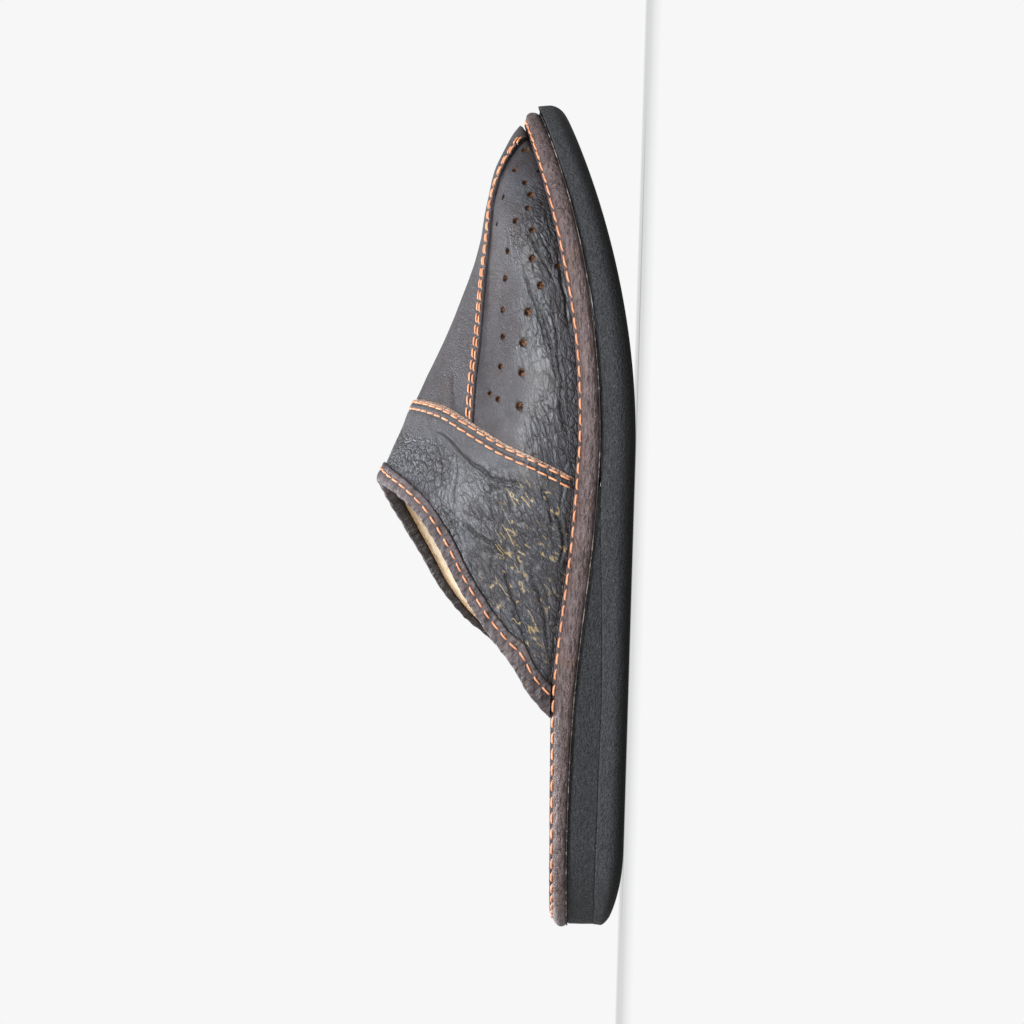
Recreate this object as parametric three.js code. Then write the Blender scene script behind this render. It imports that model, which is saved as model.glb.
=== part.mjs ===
// A men's leather mule slipper for the right foot, closed at the toe and open at the heel.
//
// The shoe stands on its sole. +X runs from heel to toe, +Y to the inner (medial) side and +Z up.
// Shapes are worked out in the shoe's own frame, where x is 0 at the heel end of the sole and z is 0 on
// the floor. At the end the group is moved so that its origin is the middle of the shoe's footprint box.
//
// From the floor up a maker stacks a foam outsole, a heel wedge, a platform wrapped in a leather rand and
// an insole. The hollow upper stands on the insole's edge, inside the stitched lip of the rand. A raised
// centre panel and a raised instep band lie on the upper, and a folded binding grips its collar edge.
import * as THREE from "three";

// Driving sizes, in millimetres.
const SOLE_LENGTH = 290; // heel end to toe end, measured along the floor
const BALL_WIDTH = 110; // widest place of the sole
const HEEL_RADIUS = 38.5; // round end of the sole at the heel
const TOE_RADIUS = 49; // round end of the sole at the toe
const TOE_SPRING = 30; // height of the tread under the toe end
const TOE_SETBACK = 3.6; // how far what lies on the outsole leans back at the toe end
const HEEL_ROLL = 5.5; // height of the tread under the heel end
const OUTSOLE_THICKNESS = 11.6; // under the ball
const OUTSOLE_BEVEL = 3.4; // how far the tread lies inside the sole's side
const WEDGE_THICKNESS = 9.3; // heel wedge where it is thickest
const WEDGE_TIP = 0.6; // blunt front edge of the heel wedge
const PLATFORM_THICKNESS = 7.2; // wrapped platform at the waist
const RAND_BULGE = 0.9; // how far the rand swells past the sole's side
const RAND_WIDTH = 4.3; // sole's side to the inner face of the rand's lip
const RAND_LIP = 1; // height of the rand's stitched lip over the platform
const INSOLE_THICKNESS = 2;
const INSOLE_SINK = 0.2; // how far the insole's face lies under the platform's top edge
const INSTEP_HEIGHT = 69.5; // ridge of the upper over the insole, at the collar
const UPPER_WALL = 1.6; // leather and lining together
const SIDE_BULGE = 1.8; // how far the side wall swells over the rand
const BULGE_HEIGHT = 9; // height of the fullest place of that swelling
const PANEL_THICKNESS = 0.9; // centre panel
const BAND_THICKNESS = 1.2; // instep band
const BINDING_THICKNESS = 0.8; // leather of the collar binding
const BINDING_WIDTH = 5.9; // how far the binding reaches onto the upper
const BINDING_TUCK = 3; // how far it reaches down inside
const CLEARANCE = 0.3; // gap that touching pieces keep

// Where things lie along the sole, as shares of its length from the heel end.
const HEEL_FLAT = 0.1; // the tread touches the floor from here
const BALL_FLAT = 0.57; // to here
const COLLAR_TOP = 0.537; // the collar's edge on the ridge
const TOE_CURVE_POWER = 1.95; // how late the tread starts to climb to the toe

// The sole seen from above: half its width as a share of half the ball width, and how far its middle
// lies to the inner side, as a share of the ball width.
const OUTLINE = [
  { station: 0.0, half: 0.7, middle: -0.009 },
  { station: 0.13, half: 0.702, middle: -0.012 },
  { station: 0.3, half: 0.722, middle: -0.036 },
  { station: 0.4, half: 0.745, middle: -0.048 },
  { station: 0.5, half: 0.838, middle: -0.044 },
  { station: 0.6, half: 0.948, middle: -0.023 },
  { station: 0.7, half: 1.0, middle: 0.005 },
  { station: 0.8, half: 0.97, middle: 0.036 },
  { station: 0.9, half: 0.88, middle: 0.058 },
  { station: 1.0, half: 0.875, middle: 0.086 },
];

// The sole seen from the side: the thickness of each layer, as a share of its own thickness above.
// The outsole's is taken from the line that the tread would follow if its heel end were not rolled up.
const LAYERS = [
  { station: 0.0, outsole: 0.84, wedge: 0.93, platform: 0.72 },
  { station: 0.1, outsole: 0.82, wedge: 1.0, platform: 0.72 },
  { station: 0.2, outsole: 0.8, wedge: 1.0, platform: 0.84 },
  { station: 0.28, outsole: 0.78, wedge: 0.93, platform: 1.0 },
  { station: 0.34, outsole: 0.81, wedge: 0.75, platform: 1.02 },
  { station: 0.4, outsole: 0.86, wedge: 0.52, platform: 1.0 },
  { station: 0.46, outsole: 0.93, wedge: 0.26, platform: 1.0 },
  { station: 0.52, outsole: 0.98, wedge: 0.08, platform: 1.0 },
  { station: 0.58, outsole: 1.0, wedge: 0.0, platform: 0.96 },
  { station: 0.7, outsole: 0.97, wedge: 0.0, platform: 0.88 },
  { station: 0.8, outsole: 0.88, wedge: 0.0, platform: 0.95 },
  { station: 0.9, outsole: 0.8, wedge: 0.0, platform: 0.93 },
  { station: 1.0, outsole: 0.72, wedge: 0.0, platform: 0.86 },
];

// The ridge of the upper: its height over the insole as a share of the instep height. Reach is 0 at the
// upper's toe end and 1 at the collar. Past 1 the ridge is only the form that the side walls follow.
const RIDGE = [
  { reach: 0.0, rise: 0.0 },
  { reach: 0.021, rise: 0.038 },
  { reach: 0.046, rise: 0.092 },
  { reach: 0.071, rise: 0.137 },
  { reach: 0.115, rise: 0.207 },
  { reach: 0.155, rise: 0.254 },
  { reach: 0.198, rise: 0.293 },
  { reach: 0.239, rise: 0.33 },
  { reach: 0.28, rise: 0.362 },
  { reach: 0.326, rise: 0.397 },
  { reach: 0.408, rise: 0.471 },
  { reach: 0.493, rise: 0.555 },
  { reach: 0.662, rise: 0.722 },
  { reach: 0.831, rise: 0.872 },
  { reach: 1.0, rise: 1.0 },
  { reach: 1.25, rise: 1.1 },
  { reach: 1.7, rise: 1.14 },
];

// The arch of the upper across the foot: exponents that square it off, more at the toe than at the
// instep, and how far its ridge lies to the inner side of the sole's middle, as a share of ball width.
const ARCH = [
  { station: 0.2, across: 2.0, up: 1.3, ridge: 0.05 },
  { station: 0.55, across: 2.0, up: 1.3, ridge: 0.05 },
  { station: 0.61, across: 2.0, up: 1.34, ridge: 0.046 },
  { station: 0.655, across: 2.02, up: 1.45, ridge: 0.042 },
  { station: 0.714, across: 2.1, up: 1.62, ridge: 0.034 },
  { station: 0.774, across: 2.25, up: 2.0, ridge: 0.024 },
  { station: 0.86, across: 2.55, up: 2.9, ridge: 0.01 },
  { station: 1.0, across: 2.6, up: 3.0, ridge: 0.0 },
];

// Lines drawn on the upper as seen from the side: the station of each at a height over the insole,
// which is a share of the instep height.
const SIDE_LINES = [
  { rise: 0.0, collarOuter: 0.256, collarInner: 0.256, band: 0.54 },
  { rise: 0.12, collarOuter: 0.286, collarInner: 0.288, band: 0.554 },
  { rise: 0.21, collarOuter: 0.317, collarInner: 0.31, band: 0.564 },
  { rise: 0.3, collarOuter: 0.341, collarInner: 0.33, band: 0.573 },
  { rise: 0.39, collarOuter: 0.366, collarInner: 0.347, band: 0.583 },
  { rise: 0.52, collarOuter: 0.407, collarInner: 0.371, band: 0.602 },
  { rise: 0.65, collarOuter: 0.455, collarInner: 0.404, band: 0.622 },
  { rise: 0.76, collarOuter: 0.491, collarInner: 0.442, band: 0.631 },
  { rise: 0.87, collarOuter: 0.515, collarInner: 0.481, band: 0.636 },
  { rise: 0.95, collarOuter: 0.528, collarInner: 0.512, band: 0.639 },
  { rise: 1.0, collarOuter: COLLAR_TOP, collarInner: COLLAR_TOP, band: 0.641 },
];

// The two edges of the centre panel as seen from the side: their height over the insole at each
// station, as a share of the instep height.
const PANEL_EDGES = [
  { station: 0.6, outer: 0.535, inner: 0.52 },
  { station: 0.655, outer: 0.515, inner: 0.5 },
  { station: 0.714, outer: 0.47, inner: 0.455 },
  { station: 0.774, outer: 0.416, inner: 0.404 },
  { station: 0.822, outer: 0.356, inner: 0.348 },
  { station: 0.865, outer: 0.299, inner: 0.292 },
  { station: 0.889, outer: 0.252, inner: 0.245 },
  { station: 0.919, outer: 0.165, inner: 0.16 },
  { station: 0.936, outer: 0.095, inner: 0.09 },
  { station: 0.951, outer: 0.02, inner: 0.018 },
  { station: 0.97, outer: 0.0, inner: 0.0 },
];

// How finely the curved faces are cut.
const SOLE_STATIONS = 44;
const UPPER_STATIONS = 32;
const ARCH_STEPS = 26;
const PANEL_STATIONS = 24;
const PANEL_STEPS = 18;
const BAND_STEPS = 10;

const COLOURS = {
  blackFoam: 0x3c3e42,
  wedgeFoam: 0x2f3134,
  randLeather: 0x55444a,
  darkLeather: 0x403a3c,
  lining: 0xcda878,
};

const clamp = (value, low, high) => Math.min(high, Math.max(low, value));
const mix = (a, b, share) => a + (b - a) * share;

// A smooth curve through one column of a table, carried on in a straight line past both ends.
function curveThrough(table, key, column) {
  const slopeAt = (i) => {
    const before = table[Math.max(i - 1, 0)];
    const after = table[Math.min(i + 1, table.length - 1)];
    return (after[column] - before[column]) / (after[key] - before[key]);
  };
  const slopes = table.map((row, i) => slopeAt(i));
  return (at) => {
    const last = table.length - 1;
    if (at <= table[0][key]) return table[0][column] + (at - table[0][key]) * slopes[0];
    if (at >= table[last][key]) return table[last][column] + (at - table[last][key]) * slopes[last];
    const i = table.findIndex((row) => row[key] > at) - 1;
    const [a, b] = [table[i], table[i + 1]];
    const width = b[key] - a[key];
    const t = (at - a[key]) / width;
    return (
      (1 + 2 * t) * (1 - t) ** 2 * a[column] +
      t * (1 - t) ** 2 * width * slopes[i] +
      t * t * (3 - 2 * t) * b[column] +
      t * t * (t - 1) * width * slopes[i + 1]
    );
  };
}

// The place between low and high where a rising function passes zero.
function crossing(rising, low, high) {
  for (let i = 0; i < 40; i++) {
    const middle = (low + high) / 2;
    if (rising(middle) > 0) high = middle;
    else low = middle;
  }
  return (low + high) / 2;
}

// Outlines of the sole, one inside another
const halfShare = curveThrough(OUTLINE, "station", "half");
const middleShare = curveThrough(OUTLINE, "station", "middle");

const middleOfSole = (x) => middleShare(x / SOLE_LENGTH) * BALL_WIDTH;

function roundEnd(fromEnd, radius) {
  const short = 1 - clamp(fromEnd / radius, 0, 1);
  return Math.sqrt(1 - short * short);
}

// Half the sole's width at x, on the outline that lies `inset` inside the sole's side.
function halfWidth(x, inset) {
  const body = (halfShare(x / SOLE_LENGTH) * BALL_WIDTH) / 2 - inset;
  const heelEnd = roundEnd(x - inset, HEEL_RADIUS - inset);
  const toeEnd = roundEnd(SOLE_LENGTH - inset - x, TOE_RADIUS - inset);
  return body * heelEnd * toeEnd;
}

// The place on an unmoved outline that belongs to x on one whose toe end is moved back to `tip`.
function beforeSetback(x, tip, inset) {
  const fade = clamp(1 - (tip - x) / TOE_RADIUS, 0, 1) ** 2;
  return x + (SOLE_LENGTH - inset - tip) * fade;
}

// Heights of the layers over the floor
const outsoleShare = curveThrough(LAYERS, "station", "outsole");
const wedgeShare = curveThrough(LAYERS, "station", "wedge");
const platformShare = curveThrough(LAYERS, "station", "platform");

function stanceLevel(x) {
  const toeward = clamp((x / SOLE_LENGTH - BALL_FLAT) / (1 - BALL_FLAT), 0, 1);
  return TOE_SPRING * toeward ** TOE_CURVE_POWER;
}

function treadLevel(x) {
  const heelward = clamp((HEEL_FLAT - x / SOLE_LENGTH) / HEEL_FLAT, 0, 1);
  return stanceLevel(x) + HEEL_ROLL * heelward ** 2;
}

const outsoleTop = (x) => stanceLevel(x) + outsoleShare(x / SOLE_LENGTH) * OUTSOLE_THICKNESS;

// Room for the heel wedge and the gap under it, which closes in front of the wedge's tip.
function wedgeRoom(x) {
  return Math.max(wedgeShare(x / SOLE_LENGTH), 0) * (WEDGE_THICKNESS + CLEARANCE);
}

const platformBottom = (x) => outsoleTop(x) + CLEARANCE + wedgeRoom(x);
const platformThickness = (x) => platformShare(x / SOLE_LENGTH) * PLATFORM_THICKNESS;
const platformTop = (x) => platformBottom(x) + platformThickness(x);
const insoleTop = (x) => platformTop(x) - INSOLE_SINK;
const insoleBottom = (x) => insoleTop(x) - INSOLE_THICKNESS;
const upperBase = (x) => insoleTop(x) + CLEARANCE;

// The upper's own form
const swellAt = (rise) => (rise / BULGE_HEIGHT) * Math.exp(1 - rise / BULGE_HEIGHT);
const TRAY_INSET = RAND_WIDTH + CLEARANCE; // sole's side to what stands inside the lip
const UPPER_INSET = TRAY_INSET + SIDE_BULGE * swellAt(RAND_LIP); // to the upper's outer face
const UPPER_TIP = SOLE_LENGTH - TOE_SETBACK - UPPER_INSET;
const RIDGE_LENGTH = UPPER_TIP - COLLAR_TOP * SOLE_LENGTH;
const OVERLAY_FOOT = RAND_LIP + INSOLE_SINK + CLEARANCE; // lowest edge of what lies on the upper

const riseShare = curveThrough(RIDGE, "reach", "rise");
const acrossPower = curveThrough(ARCH, "station", "across");
const upPower = curveThrough(ARCH, "station", "up");
const ridgeShare = curveThrough(ARCH, "station", "ridge");

const ridgeRise = (x) => riseShare((UPPER_TIP - x) / RIDGE_LENGTH) * INSTEP_HEIGHT;

// Height of the ridge on the form that lies `depth` inside the upper's outer face.
function ridgeHeight(x, depth) {
  const slope = ridgeRise(x + 0.5) - ridgeRise(x - 0.5);
  return ridgeRise(x) - depth * Math.hypot(1, slope);
}

// Toe end of that form, where its ridge comes down to the insole.
function tipOf(depth) {
  const reach = TOE_RADIUS / 2;
  return crossing((x) => -ridgeHeight(x, depth), UPPER_TIP - reach, UPPER_TIP + reach);
}

// The arch across the foot at x, on the form that lies `depth` inside the upper's outer face.
function archAt(x, depth, tip) {
  const inset = UPPER_INSET + depth;
  const along = beforeSetback(x, tip, inset);
  const half = halfWidth(along, inset);
  const middle = middleOfSole(along);
  return {
    outer: middle - half,
    inner: middle + half,
    ridge: middle + ridgeShare(x / SOLE_LENGTH) * BALL_WIDTH,
    base: upperBase(x),
    height: Math.max(ridgeHeight(x, depth), 0),
    across: acrossPower(x / SOLE_LENGTH),
    up: upPower(x / SOLE_LENGTH),
  };
}

// A point of the upper. Turn is 0 at its outer edge, a half on the ridge and 1 at its inner edge.
function upperPoint(x, turn, depth, tip = tipOf(depth)) {
  const arch = archAt(x, depth, tip);
  const angle = Math.PI * turn;
  const across = Math.abs(Math.cos(angle)) ** (2 / arch.across);
  const rise = Math.abs(Math.sin(angle)) ** (2 / arch.up) * arch.height;
  const bulge = SIDE_BULGE * swellAt(rise) * clamp(arch.height / (2 * BULGE_HEIGHT), 0, 1);
  const y =
    turn < 0.5
      ? arch.ridge - across * (arch.ridge - arch.outer) - bulge
      : arch.ridge + across * (arch.inner - arch.ridge) + bulge;
  return new THREE.Vector3(x, y, arch.base + rise);
}

// The turn at which the arch at x passes a height over its foot.
function turnAtRise(x, rise, depth) {
  const arch = archAt(x, depth, tipOf(depth));
  const share = clamp(rise / arch.height, 0, 1);
  return Math.asin(share ** (arch.up / 2)) / Math.PI;
}

const bandStation = curveThrough(SIDE_LINES, "rise", "band");
const collarStations = {
  outer: curveThrough(SIDE_LINES, "rise", "collarOuter"),
  inner: curveThrough(SIDE_LINES, "rise", "collarInner"),
};

// Where a line that is drawn in the side view meets the upper, at a given turn.
function lineOnUpper(stationAtRise, turn) {
  const lift = Math.abs(Math.sin(Math.PI * turn));
  const behind = (x) => {
    const share = (lift ** (2 / upPower(x / SOLE_LENGTH)) * ridgeRise(x)) / INSTEP_HEIGHT;
    return x - SOLE_LENGTH * stationAtRise(share);
  };
  return crossing(behind, 0.2 * SOLE_LENGTH, 0.72 * SOLE_LENGTH);
}

const collarAt = (turn) => lineOnUpper(turn < 0.5 ? collarStations.outer : collarStations.inner, turn);
const bandFrontAt = (turn) => lineOnUpper(bandStation, turn);

// The turn of an edge of the centre panel, kept over the rand's lip at the toe.
const panelEdges = {
  outer: curveThrough(PANEL_EDGES, "station", "outer"),
  inner: curveThrough(PANEL_EDGES, "station", "inner"),
};

function panelTurn(x, side) {
  const drawn = panelEdges[side](x / SOLE_LENGTH) * INSTEP_HEIGHT;
  const turn = turnAtRise(x, Math.max(drawn, OVERLAY_FOOT), 0);
  return side === "outer" ? turn : 1 - turn;
}

// A closed solid lofted through closed rings of points, with both ends filled rung by rung: point i of
// an end ring is joined to its partner, counted from the ring's other end.
function loftSolid(rings) {
  const points = rings.flat();
  const count = rings[0].length;
  const quads = [];
  for (let ring = 0; ring + 1 < rings.length; ring++) {
    for (let i = 0; i < count; i++) {
      const here = ring * count + i;
      const next = ring * count + ((i + 1) % count);
      quads.push([here, next, next + count, here + count]);
    }
  }
  const lastRing = (rings.length - 1) * count;
  for (let i = 0; i + 1 < count / 2; i++) {
    const partner = count - 1 - i;
    quads.push([i, partner, partner - 1, i + 1]);
    quads.push([lastRing + i, lastRing + i + 1, lastRing + partner - 1, lastRing + partner]);
  }
  return solidFromQuads(points, quads);
}

// Geometry with shared vertices, no folded triangles and its faces pointing out.
function solidFromQuads(points, quads) {
  const known = new Map();
  const positions = [];
  const merged = points.map((point) => {
    const name = [point.x, point.y, point.z].map((value) => value.toFixed(3)).join(" ");
    if (!known.has(name)) {
      known.set(name, positions.length / 3);
      positions.push(point.x, point.y, point.z);
    }
    return known.get(name);
  });
  const triangles = quads
    .flatMap(([a, b, c, d]) => [
      [a, b, c],
      [a, c, d],
    ])
    .map((corners) => corners.map((corner) => merged[corner]))
    .filter(([a, b, c]) => a !== b && b !== c && a !== c);
  const corner = (i) => new THREE.Vector3().fromArray(positions, 3 * i);
  const volume = triangles.reduce(
    (sum, [a, b, c]) => sum + corner(a).dot(corner(b).cross(corner(c))),
    0,
  );
  const facingOut = volume > 0 ? triangles : triangles.map(([a, b, c]) => [a, c, b]);
  const geometry = new THREE.BufferGeometry();
  geometry.setAttribute("position", new THREE.Float32BufferAttribute(positions, 3));
  geometry.setIndex(facingOut.flat());
  geometry.computeVertexNormals();
  return geometry;
}

// Shares from 0 to 1 that crowd towards both ends.
const endedShares = (steps) =>
  Array.from({ length: steps + 1 }, (_, i) => (1 - Math.cos((Math.PI * i) / steps)) / 2);

// Shares from 0 to 1 that crowd towards the start.
const startedShares = (steps) => Array.from({ length: steps + 1 }, (_, i) => (i / steps) ** 1.35);

const evenShares = (steps) => Array.from({ length: steps + 1 }, (_, i) => i / steps);

// A layer of the sole. Each row is a ring of its side, from the middle of its underside to the middle
// of its top: how far it lies inside the sole's side and its height at x.
function layer(rows, { setback = 0, frontEnd = SOLE_LENGTH } = {}) {
  const rings = rows.map(({ inset, level }) => {
    const tip = SOLE_LENGTH - setback - inset;
    const front = Math.min(frontEnd, tip);
    const stations = endedShares(SOLE_STATIONS).map((share) => mix(inset, front, share));
    const edge = (x, side) => {
      const along = beforeSetback(x, tip, inset);
      const y = middleOfSole(along) + side * halfWidth(along, inset);
      return new THREE.Vector3(x, y, level(x));
    };
    const outer = stations.map((x) => edge(x, -1));
    const inner = stations.map((x) => edge(x, 1)).reverse();
    return [...outer, ...inner];
  });
  return loftSolid(rings);
}

function outsole() {
  const level = (share) => (x) => mix(treadLevel(x), outsoleTop(x), share);
  return layer([
    { inset: OUTSOLE_BEVEL, level: level(0) },
    { inset: OUTSOLE_BEVEL * 0.5, level: level(0.08) },
    { inset: OUTSOLE_BEVEL * 0.2, level: level(0.22) },
    { inset: OUTSOLE_BEVEL * 0.07, level: level(0.5) },
    { inset: 0, level: level(0.96) },
    { inset: CLEARANCE, level: level(1) },
  ]);
}

function heelWedge() {
  const bottom = (x) => outsoleTop(x) + CLEARANCE;
  const top = (x) => platformBottom(x) - CLEARANCE;
  const front = crossing(
    (x) => WEDGE_TIP - (top(x) - bottom(x)),
    0.3 * SOLE_LENGTH,
    0.6 * SOLE_LENGTH,
  );
  return layer(
    [
      { inset: CLEARANCE, level: bottom },
      { inset: 0, level: (x) => mix(bottom(x), top(x), 0.1) },
      { inset: 0, level: (x) => mix(bottom(x), top(x), 0.9) },
      { inset: CLEARANCE, level: top },
    ],
    { frontEnd: front },
  );
}

// The platform with its rand: the leather swells at the side, dips into the stitch groove and stands
// up as a lip around the tray that the insole lies in.
function wrappedPlatform() {
  const level = (share) => (x) => mix(platformBottom(x), platformTop(x), share);
  const over = (height) => (x) => platformTop(x) + height;
  const rows = [
    { inset: RAND_WIDTH * 0.4, level: level(0) },
    { inset: RAND_WIDTH * 0.08, level: level(0.1) },
    { inset: -RAND_BULGE, level: level(0.4) },
    { inset: -RAND_BULGE * 0.7, level: level(0.66) },
    { inset: RAND_WIDTH * 0.2, level: level(0.9) },
    { inset: RAND_WIDTH * 0.55, level: level(1) },
    { inset: RAND_WIDTH * 0.7, level: over(-RAND_LIP * 0.4) },
    { inset: RAND_WIDTH * 0.78, level: over(RAND_LIP * 0.6) },
    { inset: RAND_WIDTH * 0.88, level: over(RAND_LIP) },
    { inset: RAND_WIDTH, level: over(RAND_LIP) },
    { inset: RAND_WIDTH, level: (x) => insoleBottom(x) - CLEARANCE },
  ];
  return layer(rows, { setback: TOE_SETBACK });
}

function insole() {
  const rows = [
    { inset: TRAY_INSET, level: insoleBottom },
    { inset: TRAY_INSET, level: (x) => insoleTop(x) - CLEARANCE },
    { inset: TRAY_INSET + CLEARANCE, level: insoleTop },
  ];
  return layer(rows, { setback: TOE_SETBACK });
}

// A shell or patch of the upper between two of its forms. `place(row, column)` gives x and turn.
function shellOnUpper(rows, columns, outerDepth, innerDepth, place) {
  const face = (row, depth) => {
    const tip = tipOf(depth);
    return columns.map((column) => {
      const { x, turn } = place(row, column, tip);
      return upperPoint(x, turn, depth, tip);
    });
  };
  return loftSolid(rows.map((row) => [...face(row, outerDepth), ...face(row, innerDepth).reverse()]));
}

function upper() {
  return shellOnUpper(
    startedShares(UPPER_STATIONS),
    evenShares(ARCH_STEPS),
    0,
    UPPER_WALL,
    (row, turn, tip) => ({ x: mix(tip, collarAt(turn), row), turn }),
  );
}

const PANEL_OUTER = -(CLEARANCE + PANEL_THICKNESS);
const BAND_OUTER = -(CLEARANCE + BAND_THICKNESS);

// The centre panel runs from the rand's lip at the toe to the front edge of the instep band.
function centrePanel() {
  const highestFoot = 1.6 * OVERLAY_FOOT;
  const tip = crossing((x) => highestFoot - ridgeRise(x), UPPER_TIP - TOE_RADIUS, UPPER_TIP);
  return shellOnUpper(
    startedShares(PANEL_STATIONS),
    evenShares(PANEL_STEPS),
    PANEL_OUTER,
    -CLEARANCE,
    (row, column) => {
      const rowMiddle = mix(tip, bandFrontAt(0.5), row);
      const turnAt = (x) => mix(panelTurn(x, "outer"), panelTurn(x, "inner"), column);
      const back = bandFrontAt(turnAt(rowMiddle)) + CLEARANCE;
      const x = mix(tip, back, row);
      return { x, turn: turnAt(x) };
    },
  );
}

// The instep band runs from its front edge to the collar, on both sides down to the rand's lip.
function instepBand() {
  return shellOnUpper(
    evenShares(BAND_STEPS),
    evenShares(ARCH_STEPS),
    BAND_OUTER,
    -CLEARANCE,
    (row, column) => {
      const xAt = (turn) => mix(bandFrontAt(turn), collarAt(turn), row);
      const foot = turnAtRise(xAt(clamp(column, 0.02, 0.98)), OVERLAY_FOOT, 0);
      const turn = clamp(column, foot, 1 - foot);
      return { x: xAt(turn), turn };
    },
  );
}

// How far x has to change to move 1 mm away from the collar's edge, on the upper's face.
function strideFromCollar(turn) {
  const step = 0.004;
  const edge = upperPoint(collarAt(turn), turn, 0);
  const before = upperPoint(collarAt(turn - step), turn - step, 0);
  const along = upperPoint(collarAt(turn + step), turn + step, 0)
    .sub(before)
    .normalize();
  const ahead = upperPoint(collarAt(turn) + 1, turn, 0).sub(edge);
  return 1 / ahead.addScaledVector(along, -ahead.dot(along)).length();
}

// The binding is folded over the collar's edge, so its section is a U that leaves the clearance
// around the upper and the instep band.
function collarBinding() {
  const skin = BINDING_THICKNESS;
  const outside = BAND_OUTER - CLEARANCE;
  const inside = UPPER_WALL + CLEARANCE;
  const section = [
    { along: BINDING_WIDTH, depth: outside - skin * 0.6 },
    { along: BINDING_WIDTH * 0.5, depth: outside - skin },
    { along: 0, depth: outside - skin },
    { along: -CLEARANCE - skin, depth: mix(outside, inside, 0.3) },
    { along: -CLEARANCE - skin, depth: mix(outside, inside, 0.7) },
    { along: 0, depth: inside + skin },
    { along: BINDING_TUCK, depth: inside + skin },
    { along: BINDING_TUCK, depth: inside },
    { along: 0, depth: inside },
    { along: -CLEARANCE, depth: inside },
    { along: -CLEARANCE, depth: mix(inside, outside, 0.5) },
    { along: -CLEARANCE, depth: outside },
    { along: 0, depth: outside },
    { along: BINDING_WIDTH, depth: outside },
  ];
  const foot = turnAtRise(collarAt(0.02), OVERLAY_FOOT, 0);
  const rings = evenShares(ARCH_STEPS).map((share) => {
    const turn = clamp(share, foot, 1 - foot);
    const stride = strideFromCollar(turn);
    return section.map(({ along, depth }) =>
      upperPoint(collarAt(turn) + along * stride, turn, depth),
    );
  });
  return loftSolid(rings);
}

function piece(name, geometry, colour, roughness) {
  const material = new THREE.MeshStandardMaterial({ color: colour, roughness, metalness: 0 });
  const mesh = new THREE.Mesh(geometry, material);
  mesh.name = name;
  return mesh;
}

const slipper = new THREE.Group();
slipper.add(
  piece("outsole", outsole(), COLOURS.blackFoam, 0.85),
  piece("heel_wedge", heelWedge(), COLOURS.wedgeFoam, 0.9),
  piece("wrapped_platform", wrappedPlatform(), COLOURS.randLeather, 0.5),
  piece("insole", insole(), COLOURS.lining, 0.8),
  piece("upper", upper(), COLOURS.darkLeather, 0.5),
  piece("centre_panel", centrePanel(), COLOURS.darkLeather, 0.5),
  piece("instep_band", instepBand(), COLOURS.darkLeather, 0.5),
  piece("collar_binding", collarBinding(), COLOURS.darkLeather, 0.45),
);

const bounds = new THREE.Box3().setFromObject(slipper);
const middle = bounds.getCenter(new THREE.Vector3());
slipper.position.set(-middle.x, -middle.y, -bounds.min.z);
slipper.updateMatrixWorld(true);

export default slipper;
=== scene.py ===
# Looks of a men's leather mule slipper for the right foot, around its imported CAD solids.
#
# The shapes are worked out in the shoe's own frame, in millimetres: x is 0 at the heel end of the sole,
# z is 0 on the floor and +Y is the inner side. Points are turned into metres of the row's frame at the
# end, when a mesh is made.
import math

import bpy
import numpy as np
from mathutils import Matrix, Vector


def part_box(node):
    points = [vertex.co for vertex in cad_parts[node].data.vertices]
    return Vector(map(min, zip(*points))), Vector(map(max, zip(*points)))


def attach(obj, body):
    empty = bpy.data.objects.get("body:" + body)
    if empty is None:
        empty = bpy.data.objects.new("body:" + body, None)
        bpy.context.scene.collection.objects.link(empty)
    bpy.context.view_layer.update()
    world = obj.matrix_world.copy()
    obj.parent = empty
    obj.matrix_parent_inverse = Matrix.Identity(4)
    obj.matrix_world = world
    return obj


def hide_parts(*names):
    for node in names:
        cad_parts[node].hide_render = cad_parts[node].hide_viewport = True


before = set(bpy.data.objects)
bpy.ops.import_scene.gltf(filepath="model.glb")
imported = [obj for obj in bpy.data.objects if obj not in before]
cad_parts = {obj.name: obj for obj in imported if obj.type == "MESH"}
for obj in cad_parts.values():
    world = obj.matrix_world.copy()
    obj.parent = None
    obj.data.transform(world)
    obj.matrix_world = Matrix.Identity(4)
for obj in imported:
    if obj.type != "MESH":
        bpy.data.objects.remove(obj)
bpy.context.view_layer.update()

# Sizes that the CAD model is built from, in millimetres
SOLE_LENGTH = 290.0
BALL_WIDTH = 110.0
HEEL_RADIUS = 38.5
TOE_RADIUS = 49.0
TOE_SPRING = 30.0
TOE_SETBACK = 3.6
HEEL_ROLL = 5.5
OUTSOLE_THICKNESS = 11.6
OUTSOLE_BEVEL = 3.4
WEDGE_THICKNESS = 9.3
WEDGE_TIP = 0.6
PLATFORM_THICKNESS = 7.2
RAND_WIDTH = 4.3
RAND_LIP = 1.0
INSOLE_THICKNESS = 2.0
INSOLE_SINK = 0.2
INSTEP_HEIGHT = 69.5
UPPER_WALL = 1.6
SIDE_BULGE = 1.8
BULGE_HEIGHT = 9.0
PANEL_THICKNESS = 0.9
BAND_THICKNESS = 1.2
CLEARANCE = 0.3
HEEL_FLAT = 0.1
BALL_FLAT = 0.57
COLLAR_TOP = 0.537
TOE_CURVE_POWER = 1.95

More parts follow.
